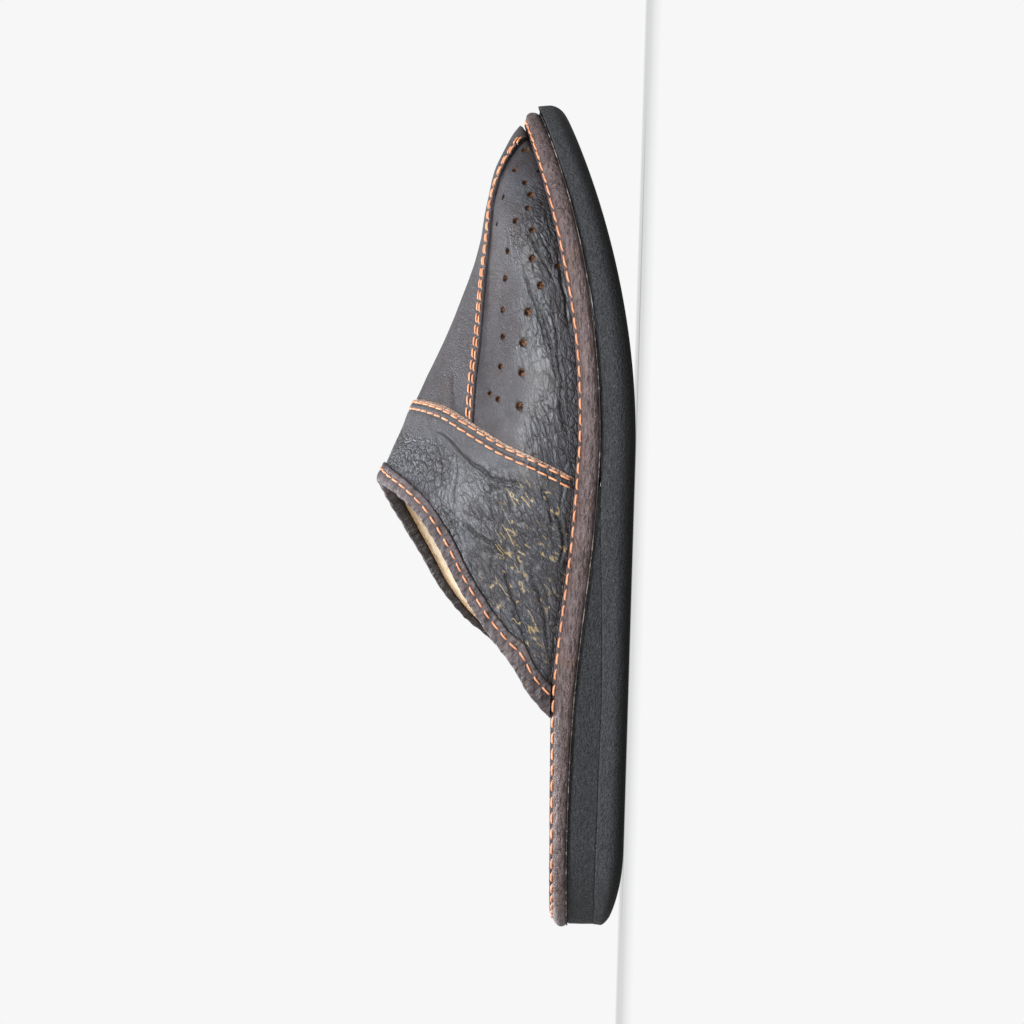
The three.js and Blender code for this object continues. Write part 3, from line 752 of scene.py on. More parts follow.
class Sheet:
    """A closed sheet between a fine outer grid and a coarse inner one, with round holes punched down to
    a lining. Each hole takes the place of a block of faces of the outer grid."""

    def __init__(self, outer, fields):
        self.outer = outer
        self.rows, self.columns = outer.shape[:2]
        self.points = list(outer.reshape(-1, 3))
        self.fields = {key: list(np.ravel(value)) for key, value in fields.items()}
        self.taken = np.zeros((self.rows - 1, self.columns - 1), bool)
        self.faces, self.slots = [], []
        self.normals = normals_of(outer)
        self.upward = self.normals[self.rows // 2, self.columns // 2, 2] > 0

    def add_points(self, places):
        start = len(self.points)
        self.points.extend(places)
        for values in self.fields.values():
            values.extend([0.0] * len(places))
        return list(range(start, start + len(places)))

    def add_faces(self, faces, slot):
        self.faces.extend(list(face) if self.upward else list(face)[::-1] for face in faces)
        self.slots.extend([slot] * len(faces))

    def punch(self, row, column, radius):
        """Punches a hole round a point of the grid, unless it would reach a border or another hole."""
        step_row = np.linalg.norm(self.outer[row + 1, column] - self.outer[row, column])
        step_column = np.linalg.norm(self.outer[row, column + 1] - self.outer[row, column])
        high = int(np.ceil(radius * HOLE_REACH / step_row))
        wide = int(np.ceil(radius * HOLE_REACH / step_column))
        if not (high < row < self.rows - 1 - high and wide < column < self.columns - 1 - wide):
            return
        block = (slice(row - high, row + high), slice(column - wide, column + wide))
        if self.taken[block].any():
            return
        self.taken[block] = True
        corners = (slice(row - high, row + high + 1), slice(column - wide, column + wide + 1))
        centre = self.outer[corners].mean(axis=(0, 1))
        normal = unit(self.normals[corners].mean(axis=(0, 1))) * (1 if self.upward else -1)
        across = 2 * wide + 1
        around = [
            (row - high + i // across) * self.columns + column - wide + i % across
            for i in border_of(2 * high + 1, across)
        ]
        self.sink(around, centre, normal, radius)

    def sink(self, around, centre, normal, radius):
        """A hole's walls, ring by ring from the border of its block, and its bottom."""
        spokes = np.array([self.points[i] for i in around]) - centre
        lift = spokes @ normal
        flat = spokes - normal * lift[:, None]
        length = np.linalg.norm(flat, axis=1)
        rings = [around]
        for share, drop, follow in HOLE_RINGS:
            rise = lift * np.minimum(share * radius / length, 1) * follow
            places = centre + unit(flat) * radius * share + normal * (drop + rise)[:, None]
            rings.append(self.add_points(places))
        bottom = self.add_points([centre - normal * (HOLE_DEPTH + 0.05)])[0]
        for level, (first, second) in enumerate(zip(rings, rings[1:])):
            walls = join_borders(np.array(first), np.array(second))[:, ::-1]
            self.add_faces(walls, 0 if level < LIT_RINGS else HOLE_SLOT)
        last = rings[-1]
        self.add_faces([[a, b, bottom] for a, b in zip(last, last[1:] + last[:1])], HOLE_SLOT)

    def close(self, inner, inner_slot):
        """Adds what is left of the outer face, the inner face and the wall between their borders."""
        self.add_faces(grid_faces(self.rows, self.columns)[~self.taken.ravel()], 0)
        inner_rows, inner_columns = inner.shape[:2]
        start = self.add_points(inner.reshape(-1, 3))[0]
        self.add_faces(grid_faces(inner_rows, inner_columns, start, flip=True), inner_slot)
        inner_border = border_of(inner_rows, inner_columns, start)
        wall = border_wall(border_of(self.rows, self.columns), inner_border, INNER_STEP)
        self.add_faces(wall, inner_slot)


def sheet_piece(name, outer, inner, materials, replaces, fields, holes=(), inner_slot=0):
    sheet = Sheet(outer, fields)
    for row, column, radius in holes:
        sheet.punch(row, column, radius)
    sheet.close(inner, inner_slot)
    return make_piece(name, sheet.points, sheet.faces, materials, replaces, sheet.slots, sheet.fields)


# Materials
class Nodes:
    """Short names for building a material's node tree."""

    def __init__(self, name):
        self.material = bpy.data.materials.new(name)
        self.material.use_nodes = True
        self.tree = self.material.node_tree
        self.shader = self.tree.nodes["Principled BSDF"]

    def add(self, kind, inputs=None, **settings):
        node = self.tree.nodes.new(kind)
        for key, value in settings.items():
            setattr(node, key, value)
        for key, value in (inputs or {}).items():
            self.put(node.inputs[key], value)
        return node

    def put(self, socket, value):
        if isinstance(value, bpy.types.NodeSocket):
            self.tree.links.new(value, socket)
        elif isinstance(value, bpy.types.Node):
            self.tree.links.new(value.outputs[0], socket)
        else:
            socket.default_value = value

    def maths(self, operation, *values, clamp=False):
        node = self.add("ShaderNodeMath", operation=operation, use_clamp=clamp)
        for i, value in enumerate(values):
            self.put(node.inputs[i], value)
        return node.outputs[0]

    def place(self):
        return self.add("ShaderNodeTexCoord").outputs["Object"]

    def noise(self, place, size_mm, detail=3.0, roughness=0.55, distortion=0.0):
        return self.add(
            "ShaderNodeTexNoise",
            {
                "Vector": place,
                "Scale": 1000 / size_mm,
                "Detail": detail,
                "Roughness": roughness,
                "Distortion": distortion,
            },
        ).outputs["Fac"]

    def cells(self, place, size_mm, feature="DISTANCE_TO_EDGE"):
        node = self.add("ShaderNodeTexVoronoi", {"Vector": place, "Scale": 1000 / size_mm}, feature=feature)
        return node.outputs["Distance"]

    def edges(self, place, size_mm, ahead):
        """Distance from the edges of cells that are drawn out along a direction of the side view."""
        drawn = self.drawn_out(place, size_mm, ahead)
        node = self.add("ShaderNodeTexVoronoi", {"Vector": drawn, "Scale": 1.0}, feature="DISTANCE_TO_EDGE")
        return node.outputs["Distance"]

    def strands(self, place, size_mm, ahead):
        """Distance from wandering lines that run mostly along a direction of the side view."""
        wave = self.drawn_noise(place, size_mm, ahead, 1.0, 0.4)
        return self.maths("ABSOLUTE", self.maths("SUBTRACT", wave, 0.5))

    def drawn_noise(self, place, size_mm, ahead, detail, roughness=0.5):
        """Noise that is drawn out along a direction of the side view."""
        drawn = self.drawn_out(place, size_mm, ahead)
        inputs = {"Vector": drawn, "Scale": 1.0, "Detail": detail, "Roughness": roughness}
        return self.add("ShaderNodeTexNoise", inputs).outputs["Fac"]

    def drawn_out(self, place, size_mm, ahead):
        """Coordinates that are stretched along a direction of the side view."""
        long, wide = size_mm
        mapping = self.add("ShaderNodeMapping", {"Vector": place}, vector_type="TEXTURE")
        mapping.inputs["Rotation"].default_value = (0, -math.atan2(ahead[1], ahead[0]), 0)
        mapping.inputs["Scale"].default_value = (long / 1000, wide / 1000, wide / 1000)
        return mapping.outputs[0]

    def warped(self, place, size_mm, amount_mm):
        wave = self.add("ShaderNodeTexNoise", {"Vector": place, "Scale": 1000 / size_mm, "Detail": 1.0})
        moved = self.add("ShaderNodeVectorMath", operation="SUBTRACT")
        self.put(moved.inputs[0], wave.outputs["Color"])
        self.put(moved.inputs[1], (0.5, 0.5, 0.5))
        scaled = self.add("ShaderNodeVectorMath", operation="SCALE")
        self.put(scaled.inputs[0], moved.outputs[0])
        scaled.inputs["Scale"].default_value = amount_mm * 2 / 1000
        added = self.add("ShaderNodeVectorMath", operation="ADD")
        self.put(added.inputs[0], place)
        self.put(added.inputs[1], scaled.outputs[0])
        return added.outputs[0]

    def ramp(self, value, low, high, from_value=0.0, to_value=1.0, kind="LINEAR"):
        return self.add(
            "ShaderNodeMapRange",
            {"Value": value, "From Min": low, "From Max": high, "To Min": from_value, "To Max": to_value},
            clamp=True,
            interpolation_type=kind,
        ).outputs[0]

    def colour(self, share, first, second):
        node = self.add("ShaderNodeMix", data_type="RGBA")
        self.put(node.inputs["Factor"], share)
        self.put(node.inputs["A"], first if not isinstance(first, tuple) else (*first, 1.0))
        self.put(node.inputs["B"], second if not isinstance(second, tuple) else (*second, 1.0))
        return node.outputs["Result"]

    def blotches(self, first, second, size_mm, detail, reach=(0.3, 0.7), roughness=0.55):
        """Two colours in soft blotches."""
        share = self.ramp(self.noise(self.place(), size_mm, detail, roughness), *reach)
        return self.colour(share, first, second)

    def stain(self, colour, mask, strength, tint):
        """A colour that turns to a tint where a mask is high."""
        return self.colour(self.maths("MULTIPLY", mask, strength), colour, tint)

    def most(self, values):
        """The largest of several values."""
        best = values[0]
        for value in values[1:]:
            best = self.maths("MAXIMUM", best, value)
        return best

    def total(self, *values):
        """The sum of several values."""
        made = values[0]
        for value in values[1:]:
            made = self.maths("ADD", made, value)
        return made

    def field(self, name):
        return self.add("ShaderNodeAttribute", attribute_name=name).outputs["Fac"]

    def bump(self, height, depth_mm, strength=1.0, below=None):
        inputs = {"Height": height, "Distance": depth_mm / 1000, "Strength": strength}
        if below is not None:
            inputs["Normal"] = below
        return self.add("ShaderNodeBump", inputs).outputs[0]

    def finish(self, colour, roughness, normal=None, specular=0.5):
        self.put(self.shader.inputs["Base Color"], colour)
        self.put(self.shader.inputs["Roughness"], roughness)
        self.shader.inputs["Specular IOR Level"].default_value = specular
        if normal is not None:
            self.put(self.shader.inputs["Normal"], normal)
        return self.material


# Directions of the leather's nets in the side view
SLANT_AHEAD = (0.95, 0.3)
STEEP_AHEAD = (0.79, 0.61)
RUBBED_AHEAD = (0.77, 0.64)
PLEATS_AHEAD = (-0.62, 0.79)

FURROW_SHADE = (0.009, 0.007, 0.007)
CREASE_SHADE = (0.012, 0.01, 0.01)
PLEAT_SHADE = (0.02, 0.014, 0.014)
SHADE_BLACK = (0.012, 0.009, 0.008)
SHEEN_GREY = (0.073, 0.078, 0.093)
RUBBED_TAN = (0.34, 0.25, 0.12)
RAW_TAN = (0.55, 0.34, 0.24)


def furrow_nets(n, weights):
    """The furrows' lines and the wider valleys round them, in nets that come and go with the fields."""
    place = n.warped(n.place(), 3.2, 0.8)
    nets = (
        ("slant", 1.0, n.edges(place, (5.0, 2.1), SLANT_AHEAD), 0.1),
        ("slant", 0.8, n.strands(place, (9.0, 2.6), (0.93, 0.36)), 0.03),
        ("slant", 0.45, n.edges(place, (2.4, 1.1), SLANT_AHEAD), 0.13),
        ("broad", 1.0, n.edges(place, (3.3, 2.4), (0.97, 0.2)), 0.1),
        ("broad", 0.4, n.edges(place, (1.5, 1.1), (0.9, 0.4)), 0.13),
        ("steep", 1.0, n.edges(place, (5.5, 2.1), STEEP_AHEAD), 0.1),
        ("steep", 0.8, n.strands(place, (9.0, 2.6), (0.75, 0.66)), 0.03),
        ("steep", 0.45, n.edges(place, (2.4, 1.1), STEEP_AHEAD), 0.13),
    )
    lines, valleys = [], []
    for key, share, edge, width in nets:
        wide = n.ramp(edge, 0.0, width * 2.4, share, 0.0, "SMOOTHSTEP")
        lines.append(n.maths("MULTIPLY", n.ramp(edge, 0.0, width, share, 0.0), weights[key]))
        valleys.append(n.maths("MULTIPLY", wide, weights[key]))
    return n.most(lines), n.most(valleys)


def rubbed_lines(n):
    """Short thin lines where the wax has worn off a pleat, within the rubbed field."""
    thin = n.edges(n.warped(n.place(), 2.4, 0.6), (13.0, 2.7), RUBBED_AHEAD)
    lines = n.maths("MULTIPLY", n.ramp(thin, 0.03, 0.062, 1.0, 0.0), n.field("rubbed"))
    pieces = n.drawn_noise(n.place(), (5.0, 2.2), RUBBED_AHEAD, 2.0)
    return n.maths("MULTIPLY", lines, n.ramp(pieces, 0.52, 0.6))


def upper_leather(name, dark, warm, gloss=0.38, pleated=False):
    """Waxed leather with nets of furrows, drawn out where it flexes, and rubbed off to tan in places. Its
    furrows and creases, and its pleats where it has them, are darkened with painted shade, and its worked
    parts carry a painted blue-grey sheen.
    """
    n = Nodes(name)
    weights = {key: n.field(key) for key in ("slant", "broad", "steep")}
    furrow, valley = furrow_nets(n, weights)
    pores = n.ramp(n.cells(n.warped(n.place(), 1.5, 0.3), 0.95), 0.0, 0.25)
    pores = n.maths("MULTIPLY", pores, 0.06 if pleated else 0.2)
    fine = n.maths("MULTIPLY", n.noise(n.place(), 0.3, 2.0), 0.07)
    lumps = n.maths("MULTIPLY", n.noise(n.place(), 1.5, 2.0), 0.3)
    relief = n.total(n.maths("SUBTRACT", pores, valley), fine, lumps)
    colour = n.blotches(dark, warm, 12.0, 4.0, (0.35, 0.68))
    if pleated:
        pleats = n.drawn_noise(n.warped(n.place(), 4.0, 0.5), (5.0, 1.5), PLEATS_AHEAD, 1.0)
        relief = n.total(relief, n.maths("MULTIPLY", pleats, 1.9))
        # Painted shade in the troughs of the pleats
        colour = n.colour(n.ramp(pleats, 0.48, 0.34, 0.0, 0.6), colour, PLEAT_SHADE)
    worked = n.maths("ADD", weights["broad"], n.total(weights["slant"], weights["steep"]), clamp=True)
    # Painted sheen: a blue-grey tint on the worked leather that stands in for the lamps' reflection
    sheen_mask = n.maths("MULTIPLY", worked, n.ramp(n.noise(n.place(), 9.0, 3.0), 0.3, 0.6))
    colour = n.stain(colour, sheen_mask, 0.75, SHEEN_GREY)
    # Painted shade: the furrows' lines are darkened nearly to black
    colour = n.stain(colour, furrow, 0.95, FURROW_SHADE)
    # Painted shade in the creases and folds
    colour = n.stain(colour, n.field("creased"), 0.75, CREASE_SHADE)
    colour = n.stain(colour, rubbed_lines(n), 0.8, RUBBED_TAN)
    fibres = n.ramp(n.noise(n.place(), 0.8, 3.0, 0.7), 0.42, 0.54)
    colour = n.colour(n.maths("MULTIPLY", n.field("raw"), fibres), colour, RAW_TAN)
    if pleated:
        colour = n.stain(colour, n.field("shade"), 0.85, SHADE_BLACK)
    patchy = n.ramp(n.noise(n.place(), 5.0, 3.0), 0.3, 0.7, -0.06, 0.1)
    calm = gloss + 0.08 if pleated else gloss + 0.26
    roughness = n.total(patchy, n.ramp(worked, 0.25, 0.8, calm, gloss))
    waxed = n.ramp(worked, 0.25, 0.9, 0.0, 0.3)
    coat = n.maths("MULTIPLY", waxed, n.maths("SUBTRACT", 1.0, furrow), clamp=True)
    n.put(n.shader.inputs["Coat Weight"], coat)
    n.shader.inputs["Coat Roughness"].default_value = 0.3
    return n.finish(colour, roughness, n.bump(relief, 0.5, 1.0), 0.25)


def rand_leather():
    """Smooth mauve-brown leather with a mottled surface and fine wrinkles across the rand, with painted
    shade in its stitch groove and in the wrinkles' troughs.
    """
    n = Nodes("rand_leather")
    colour = n.blotches((0.068, 0.044, 0.044), (0.14, 0.099, 0.1), 5.0, 5.0, roughness=0.65)
    stains = n.ramp(n.noise(n.place(), 11.0, 4.0, 0.6), 0.5, 0.7)
    colour = n.stain(colour, stains, 0.5, (0.125, 0.07, 0.048))
    # Painted shade in the groove along the stitches
    colour = n.stain(colour, n.field("groove"), 0.8, (0.03, 0.017, 0.015))
    place = n.warped(n.place(), 2.5, 0.4)
    wrinkles = n.drawn_noise(place, (3.4, 1.0), (1.0, 0.0), 3.0)
    # Painted shade in the troughs of the wrinkles
    colour = n.colour(n.ramp(wrinkles, 0.53, 0.38, 0.0, 0.7), colour, (0.026, 0.016, 0.015))
    relief = n.total(n.noise(place, 1.0, 4.0, 0.6), n.maths("MULTIPLY", wrinkles, 1.6))
    roughness = n.ramp(n.noise(n.place(), 3.0, 3.0), 0.3, 0.7, 0.32, 0.46)
    return n.finish(colour, roughness, n.bump(relief, 0.6, 1.0), 0.35)


def foam(name, tint, speck=0.35):
    """Black closed-cell foam with sanding marks along the shoe, a little dust, and painted shade where the
    low field is high.
    """
    n = Nodes(name)
    place = n.place()
    drawn = n.add("ShaderNodeMapping", {"Vector": place, "Scale": (0.35, 0.35, 1.6)}).outputs[0]
    marks = n.noise(drawn, 1.2, 4.0, 0.7)
    pores = n.noise(place, 0.45, 3.0, 0.7)
    dust = n.ramp(n.noise(place, 0.9, 2.0, 0.8), 0.66, 0.72)
    lumps = n.noise(n.warped(place, 1.5, 0.5), 0.9, 3.0, 0.6)
    light = tuple(min(1.0, c * 2.4) for c in tint)
    colour = n.colour(n.ramp(n.total(marks, lumps), 0.75, 1.25), tint, light)
    colour = n.stain(colour, dust, speck, (0.16, 0.155, 0.15))
    # Painted shade: near black where the low field is high, on the outsole's underside and bevel
    colour = n.stain(colour, n.field("low"), 0.9, (0.003, 0.003, 0.003))
    relief = n.total(n.maths("MULTIPLY", marks, 0.5), n.maths("MULTIPLY", pores, 0.5), lumps)
    roughness = n.ramp(marks, 0.3, 0.8, 0.62, 0.8)
    return n.finish(colour, roughness, n.bump(relief, 0.9, 1.0), 0.2)


def lining(name, first, second, blotch_mm, grain_mm, roughness):
    """Plain lining leather with soft blotches and a grain of two sizes."""
    n = Nodes(name)
    colour = n.blotches(first, second, blotch_mm, 4.0)
    relief = n.total(*(n.noise(n.place(), size, 3.0) for size in grain_mm))
    return n.finish(colour, roughness, n.bump(relief, 0.25, 0.6), 0.3)


def hole_bottom():
    n = Nodes("hole_bottom")
    # Painted shade: the hole's lower walls and bottom are mostly near black, with orange-brown blotches
    colour = n.blotches((0.008, 0.005, 0.004), (0.2, 0.085, 0.035), 0.9, 2.0, (0.4, 0.62))
    return n.finish(colour, 0.8, None, 0.2)


def thread():
    n = Nodes("orange_thread")
    colour = n.blotches((0.5, 0.185, 0.085), (0.74, 0.36, 0.2), 2.2, 3.0)
    strands = n.noise(n.place(), 0.22, 2.0, 0.6)
    return n.finish(colour, 0.5, n.bump(strands, 0.12, 0.7), 0.4)


def raw_edge():
    n = Nodes("raw_edge")
    colour = n.blotches((0.03, 0.026, 0.025), (0.22, 0.19, 0.165), 5.0, 4.0, (0.5, 0.62), 0.7)
    return n.finish(colour, 0.75, None, 0.3)


CREAM_LINING = lining("cream_lining", (0.93, 0.8, 0.6), (0.98, 0.89, 0.72), 6.0, (0.6, 2.5), 0.75)
HOLE_BOTTOM = hole_bottom()
DARK_BROWN = (0.031, 0.0245, 0.0258)
WARM_BROWN = (0.053, 0.0425, 0.045)
SIDE_LEATHER = upper_leather("side_leather", DARK_BROWN, WARM_BROWN)
PANEL_LEATHER = upper_leather("centre_leather", DARK_BROWN, WARM_BROWN)
BAND_LEATHER = upper_leather("instep_leather", (0.037, 0.034, 0.037), (0.06, 0.054, 0.057))
BINDING_LEATHER = upper_leather("fold_leather", (0.06, 0.044, 0.045), (0.11, 0.085, 0.088), 0.42, True)
RAND_LEATHER = rand_leather()
BLACK_FOAM = foam("outsole_foam", (0.026, 0.0272, 0.0295))
WEDGE_FOAM = foam("wedge_foam", (0.019, 0.0198, 0.0216))
TAN_LINING = lining("tan_lining", (0.38, 0.245, 0.14), (0.46, 0.31, 0.185), 9.0, (0.7, 3.0), 0.72)
THREAD = thread()
RAW_EDGE = raw_edge()


# Sole
RING_STATIONS = 330


def ended_shares(steps):
    return (1 - np.cos(np.pi * np.arange(steps + 1) / steps)) / 2


def blended_shares(steps):
    """Shares from 0 to 1 that are even in the middle and crowd at both round ends."""
    even = np.arange(steps + 1) / steps
    return mix(even, ended_shares(steps), 0.6)


def ring(inset, level, setback=0.0, front=None, stations=RING_STATIONS):
    """A closed ring of a layer's side: outer side from heel to toe, then back along the inner side."""
    tip = SOLE_LENGTH - setback - inset
    end = tip if front is None else min(front, tip)
    x = mix(inset, end, blended_shares(stations))
    along = before_setback(x, tip, inset)
    half, middle, z = half_width(along, inset), middle_of_sole(along), level(x)
    outer = np.stack([x, middle - half, z], -1)
    inner = np.stack([x, middle + half, z], -1)[::-1]
    return np.concatenate([outer, inner])


def ladder(count, start):
    """Faces that fill a ring of `count` points rung by rung."""
    i = np.arange(count // 2 - 1)
    return np.stack([start + i, start + i + 1, start + count - 2 - i, start + count - 1 - i], -1)


def layer_piece(name, rings, materials, replaces, fields=None):
    points = np.concatenate(rings)
    count = len(rings[0])
    sides = grid_faces(len(rings), count, closed=True)
    bottom = ladder(count, 0)
    top = ladder(count, (len(rings) - 1) * count)[:, ::-1]
    faces = np.concatenate([sides, bottom, top])
    return make_piece(name, points, faces, materials, replaces, None, fields)


def wavy(points, amount, size, seed):
    """Small unevenness of a hand-cut side, square to it."""
    middle = np.stack([points[:, 0] * 0 + SOLE_LENGTH / 2, points[:, 1] * 0], -1)
    away = unit(points[:, :2] - middle)
    moved = points.copy()
    moved[:, :2] += away * (amount * layered_noise(points, size, seed, 3))[:, None]
    return moved


def build_outsole():
    def level(share):
        return lambda x: mix(tread_level(x), outsole_top(x), share)

    def floor_of_tread(x):
        return tread_level(x) + TREAD_DEPTH

    profile = (
        (OUTSOLE_BEVEL + TREAD_BORDER, floor_of_tread),
        (OUTSOLE_BEVEL + 0.9 * TREAD_BORDER, level(0.0)),
        (OUTSOLE_BEVEL, level(0.0)),
        (OUTSOLE_BEVEL * 0.74, level(0.02)),
        (OUTSOLE_BEVEL * 0.5, level(0.07)),
        (OUTSOLE_BEVEL * 0.31, level(0.14)),
        (OUTSOLE_BEVEL * 0.15, level(0.23)),
        (OUTSOLE_BEVEL * 0.05, level(0.33)),
        (0.0, level(0.44)),
        (0.04, level(0.54)),
        (0.16, level(0.72)),
        (0.28, level(0.92)),
        (0.3, level(1.0)),
        (0.75, level(1.01)),
    )
    rings = [ring(inset, z) for inset, z in profile]
    rings = [r if i < 3 else wavy(r, 0.12, 3.5, 51) for i, r in enumerate(rings)]
    # Painted shade for each ring: full on the underside and bevel, fading out half way up the side
    bottom_shade_rows = [1, 1, 1, 1, 1, 1, 0.9, 0.7, 0.4, 0.15, 0, 0, 0, 0]
    fields = {"low": np.repeat(bottom_shade_rows, len(rings[0]))}
    layer_piece("outsole_body", rings, [BLACK_FOAM], ["outsole"], fields)


def inside_spans(origin, direction, inset):
    """The two ends of a straight line, seen from above, where it lies inside an outline of the sole."""
    reach = np.linspace(-SOLE_LENGTH, SOLE_LENGTH, 4000)
    line = origin + reach[:, None] * direction
    x = np.clip(line[:, 0], inset, SOLE_LENGTH - inset)
    half = half_width(x, inset)
    inside = (np.abs(line[:, 1] - middle_of_sole(x)) < half) & (line[:, 0] == x)
    if inside.sum() < 12:
        return None
    return reach[inside][0], reach[inside][-1]


def build_tread():
    """Thin ribs that cross at right angles, so that diamond pits are left between them."""
    points, faces = [], []
    step = 4.0
    for slant in (1, -1):
        direction = np.array([math.sqrt(0.5), slant * math.sqrt(0.5)])
        across = np.array([-direction[1], direction[0]])
        lines = np.arange(-170, 171) * TREAD_PITCH
        for offset in lines:
            origin = np.array([SOLE_LENGTH / 2, 0.0]) + across * offset
            span = inside_spans(origin, direction, OUTSOLE_BEVEL + TREAD_BORDER - 0.2)
            if span is None:
                continue
            count = max(2, int((span[1] - span[0]) / step) + 1)
            reach = np.linspace(span[0], span[1], count)
            middle = origin + reach[:, None] * direction
            start = len(points)
            section = ((-0.5, 1.05), (-0.28, 0.0), (0.28, 0.0), (0.5, 1.05))
            for place in middle:
                for side, height in section:
                    spot = place + across * side * TREAD_RIB * 1.35
                    points.append((spot[0], spot[1], float(tread_level(spot[0])) + TREAD_DEPTH * height))
            faces.extend(grid_faces(count, 4, start, closed=True).tolist())
            last = start + 4 * (count - 1)
            faces.append([start, start + 1, start + 2, start + 3])
            faces.append([last + 3, last + 2, last + 1, last])
    make_piece("tread_ribs", points, faces, [BLACK_FOAM])


def build_wedge():
    def bottom(x):
        return outsole_top(x) + CLEARANCE * 0.35

    def top(x):
        return platform_bottom(x) - CLEARANCE * 0.35

    def spread(share):
        return lambda x: mix(bottom(x), np.maximum(top(x), bottom(x) + 0.1), share)

    front = float(crossing(lambda x: WEDGE_TIP - (top(x) - bottom(x)), 0.3 * SOLE_LENGTH, 0.6 * SOLE_LENGTH))
    profile = (
        (0.75, -0.01),
        (0.33, -0.01),
        (0.33, 0.05),
        (0.32, 0.2),
        (0.3, 0.5),
        (0.28, 0.8),
        (0.3, 0.96),
        (0.6, 1.0),
    )
    rings = [wavy(ring(inset, spread(share), front=front), 0.1, 3.5, 57) for inset, share in profile]
    layer_piece("heel_wedge_foam", rings, [WEDGE_FOAM], ["heel_wedge"])


def build_rand():
    """The rand: a swelling side, a groove pulled in at each stitch hole, and the stitched lip."""

    def level(share):
        return lambda x: mix(platform_bottom(x), platform_top(x), share)

    def over(height):
        return lambda x: platform_top(x) + height

    profile = (
        (0.5, level(0.0), 0.0),
        (0.16, level(0.01), 0.0),
        (0.02, level(0.06), 0.0),
        (-0.12, level(0.16), 0.0),
        (-0.2, level(0.28), 0.0),
        (-0.22, level(0.42), 0.0),
        (-0.19, level(0.56), 0.0),
        (-0.1, level(0.69), 0.0),
        (0.02, level(0.8), 0.0),
        (0.17, level(0.89), 0.05),
        (0.33, level(0.96), 0.3),
        (0.46, level(1.0), 0.7),
        (0.56, over(-0.25), 1.0),
        (0.66, over(-0.35), 1.0),
        (0.73, over(-0.05), 0.9),
        (0.78, over(0.45), 0.5),
        (0.82, over(0.85), 0.25),
        (0.88, over(1.08), 0.15),
        (0.95, over(1.05), 0.3),
        (0.995, over(0.8), 0.6),
        (1.0, over(-0.6), 1.0),
        (1.0, over(-2.0), 1.0),
    )
    rings, grooves = [], []
    seam = ring(0.6 * RAND_WIDTH, over(0), TOE_SETBACK)
    phase = lengths_along(seam) / STITCH["pitch"] * 2 * np.pi
    for share, level_at, groove in profile:
        made = ring(share * RAND_WIDTH, level_at, TOE_SETBACK)
        puff = 0.5 + 0.5 * np.cos(phase)
        side = smooth((0.75 - abs(share - 0.35)) / 0.5)
        made[:, 2] -= 0.32 * groove * (1 - puff)
        made = wavy(made, 0.16 * (1 - groove), 5.0, 61)
        made[:, 2] += 0.1 * side * layered_noise(made, 2.5, 67, 2)
        rings.append(made)
        grooves.append(np.full(len(made), groove))
    layer_piece(
        "stitched_rand", rings, [RAND_LEATHER], ["wrapped_platform"],
        {"groove": np.concatenate(grooves)},
    )


def build_edge_line():
    """The rand's raw lower edge, which shows as a thin pale line over the foam."""
    path = ring(-0.08 * RAND_WIDTH, lambda x: platform_bottom(x) + 0.2, TOE_SETBACK * 0.9)
    tube_piece("rand_raw_edge", wavy(path, 0.12, 3.0, 71), 0.22, RAW_EDGE, closed=True)


def tube_piece(name, path, radius, material, closed=False, sides=6):
    ahead = unit(np.roll(path, -1, axis=0) - np.roll(path, 1, axis=0))
    out = unit(np.cross(ahead, np.array([0, 0, 1.0])))
    up = np.cross(out, ahead)
    angle = np.arange(sides) / sides * 2 * np.pi
    rounds = path[:, None] + radius * (
        np.cos(angle)[None, :, None] * out[:, None] + np.sin(angle)[None, :, None] * up[:, None]
    )
    rows = len(path)
    if closed:
        rounds = np.concatenate([rounds, rounds[:1]])
        rows += 1
    faces = grid_faces(rows, sides, closed=True)
    return make_piece(name, rounds.reshape(-1, 3), faces, [material])


def build_insole():
    """The insole, a little hollow where the foot has pressed it."""
    stations, lanes = 152, 41
    x = mix(TRAY_INSET, SOLE_LENGTH - TOE_SETBACK - TRAY_INSET, blended_shares(stations))
    along = before_setback(x, SOLE_LENGTH - TOE_SETBACK - TRAY_INSET, TRAY_INSET)
    half, middle = half_width(along, TRAY_INSET), middle_of_sole(along)
    lane = np.sin(np.linspace(-0.5, 0.5, lanes) * np.pi)
    y = middle[:, None] + half[:, None] * lane[None, :]
    press = 0.5 * np.exp(-(((x[:, None] - 48) / 34) ** 2)) + 0.4 * np.exp(-(((x[:, None] - 200) / 40) ** 2))
    hollow = press * (1 - lane[None, :] ** 2) + 0.25 * smooth((np.abs(lane)[None, :] - 0.97) / 0.03)
    z = insole_top(x)[:, None] - hollow
    top = np.stack([np.broadcast_to(x[:, None], y.shape), y, z], -1)
    top[..., 2] += 0.05 * layered_noise(top, 6, 71, 2)
    low = coarser(top, INNER_STEP).copy()
    low[..., 2] = insole_bottom(coarser(x[:, None], INNER_STEP))
    sheet_piece("insole_leather", top, low, [TAN_LINING], ["insole"], {})


# Upper
def hole_places(grid, wanted):
    """Rows and columns of a grid that lie nearest to the perforations, on both sides of the shoe."""
    found = []
    for x, z, diameter in wanted:
        for side in (-1, 1):
            centre = middle_of_sole(x)
            away = np.hypot(grid[..., 0] - x, grid[..., 2] - z)
            away = np.where(side * (grid[..., 1] - centre) > 0, away, np.inf)
            row, column = np.unravel_index(np.argmin(away), away.shape)
            if away[row, column] < 1.5:
                found.append((row, column, 0.62 * diameter))
    return found


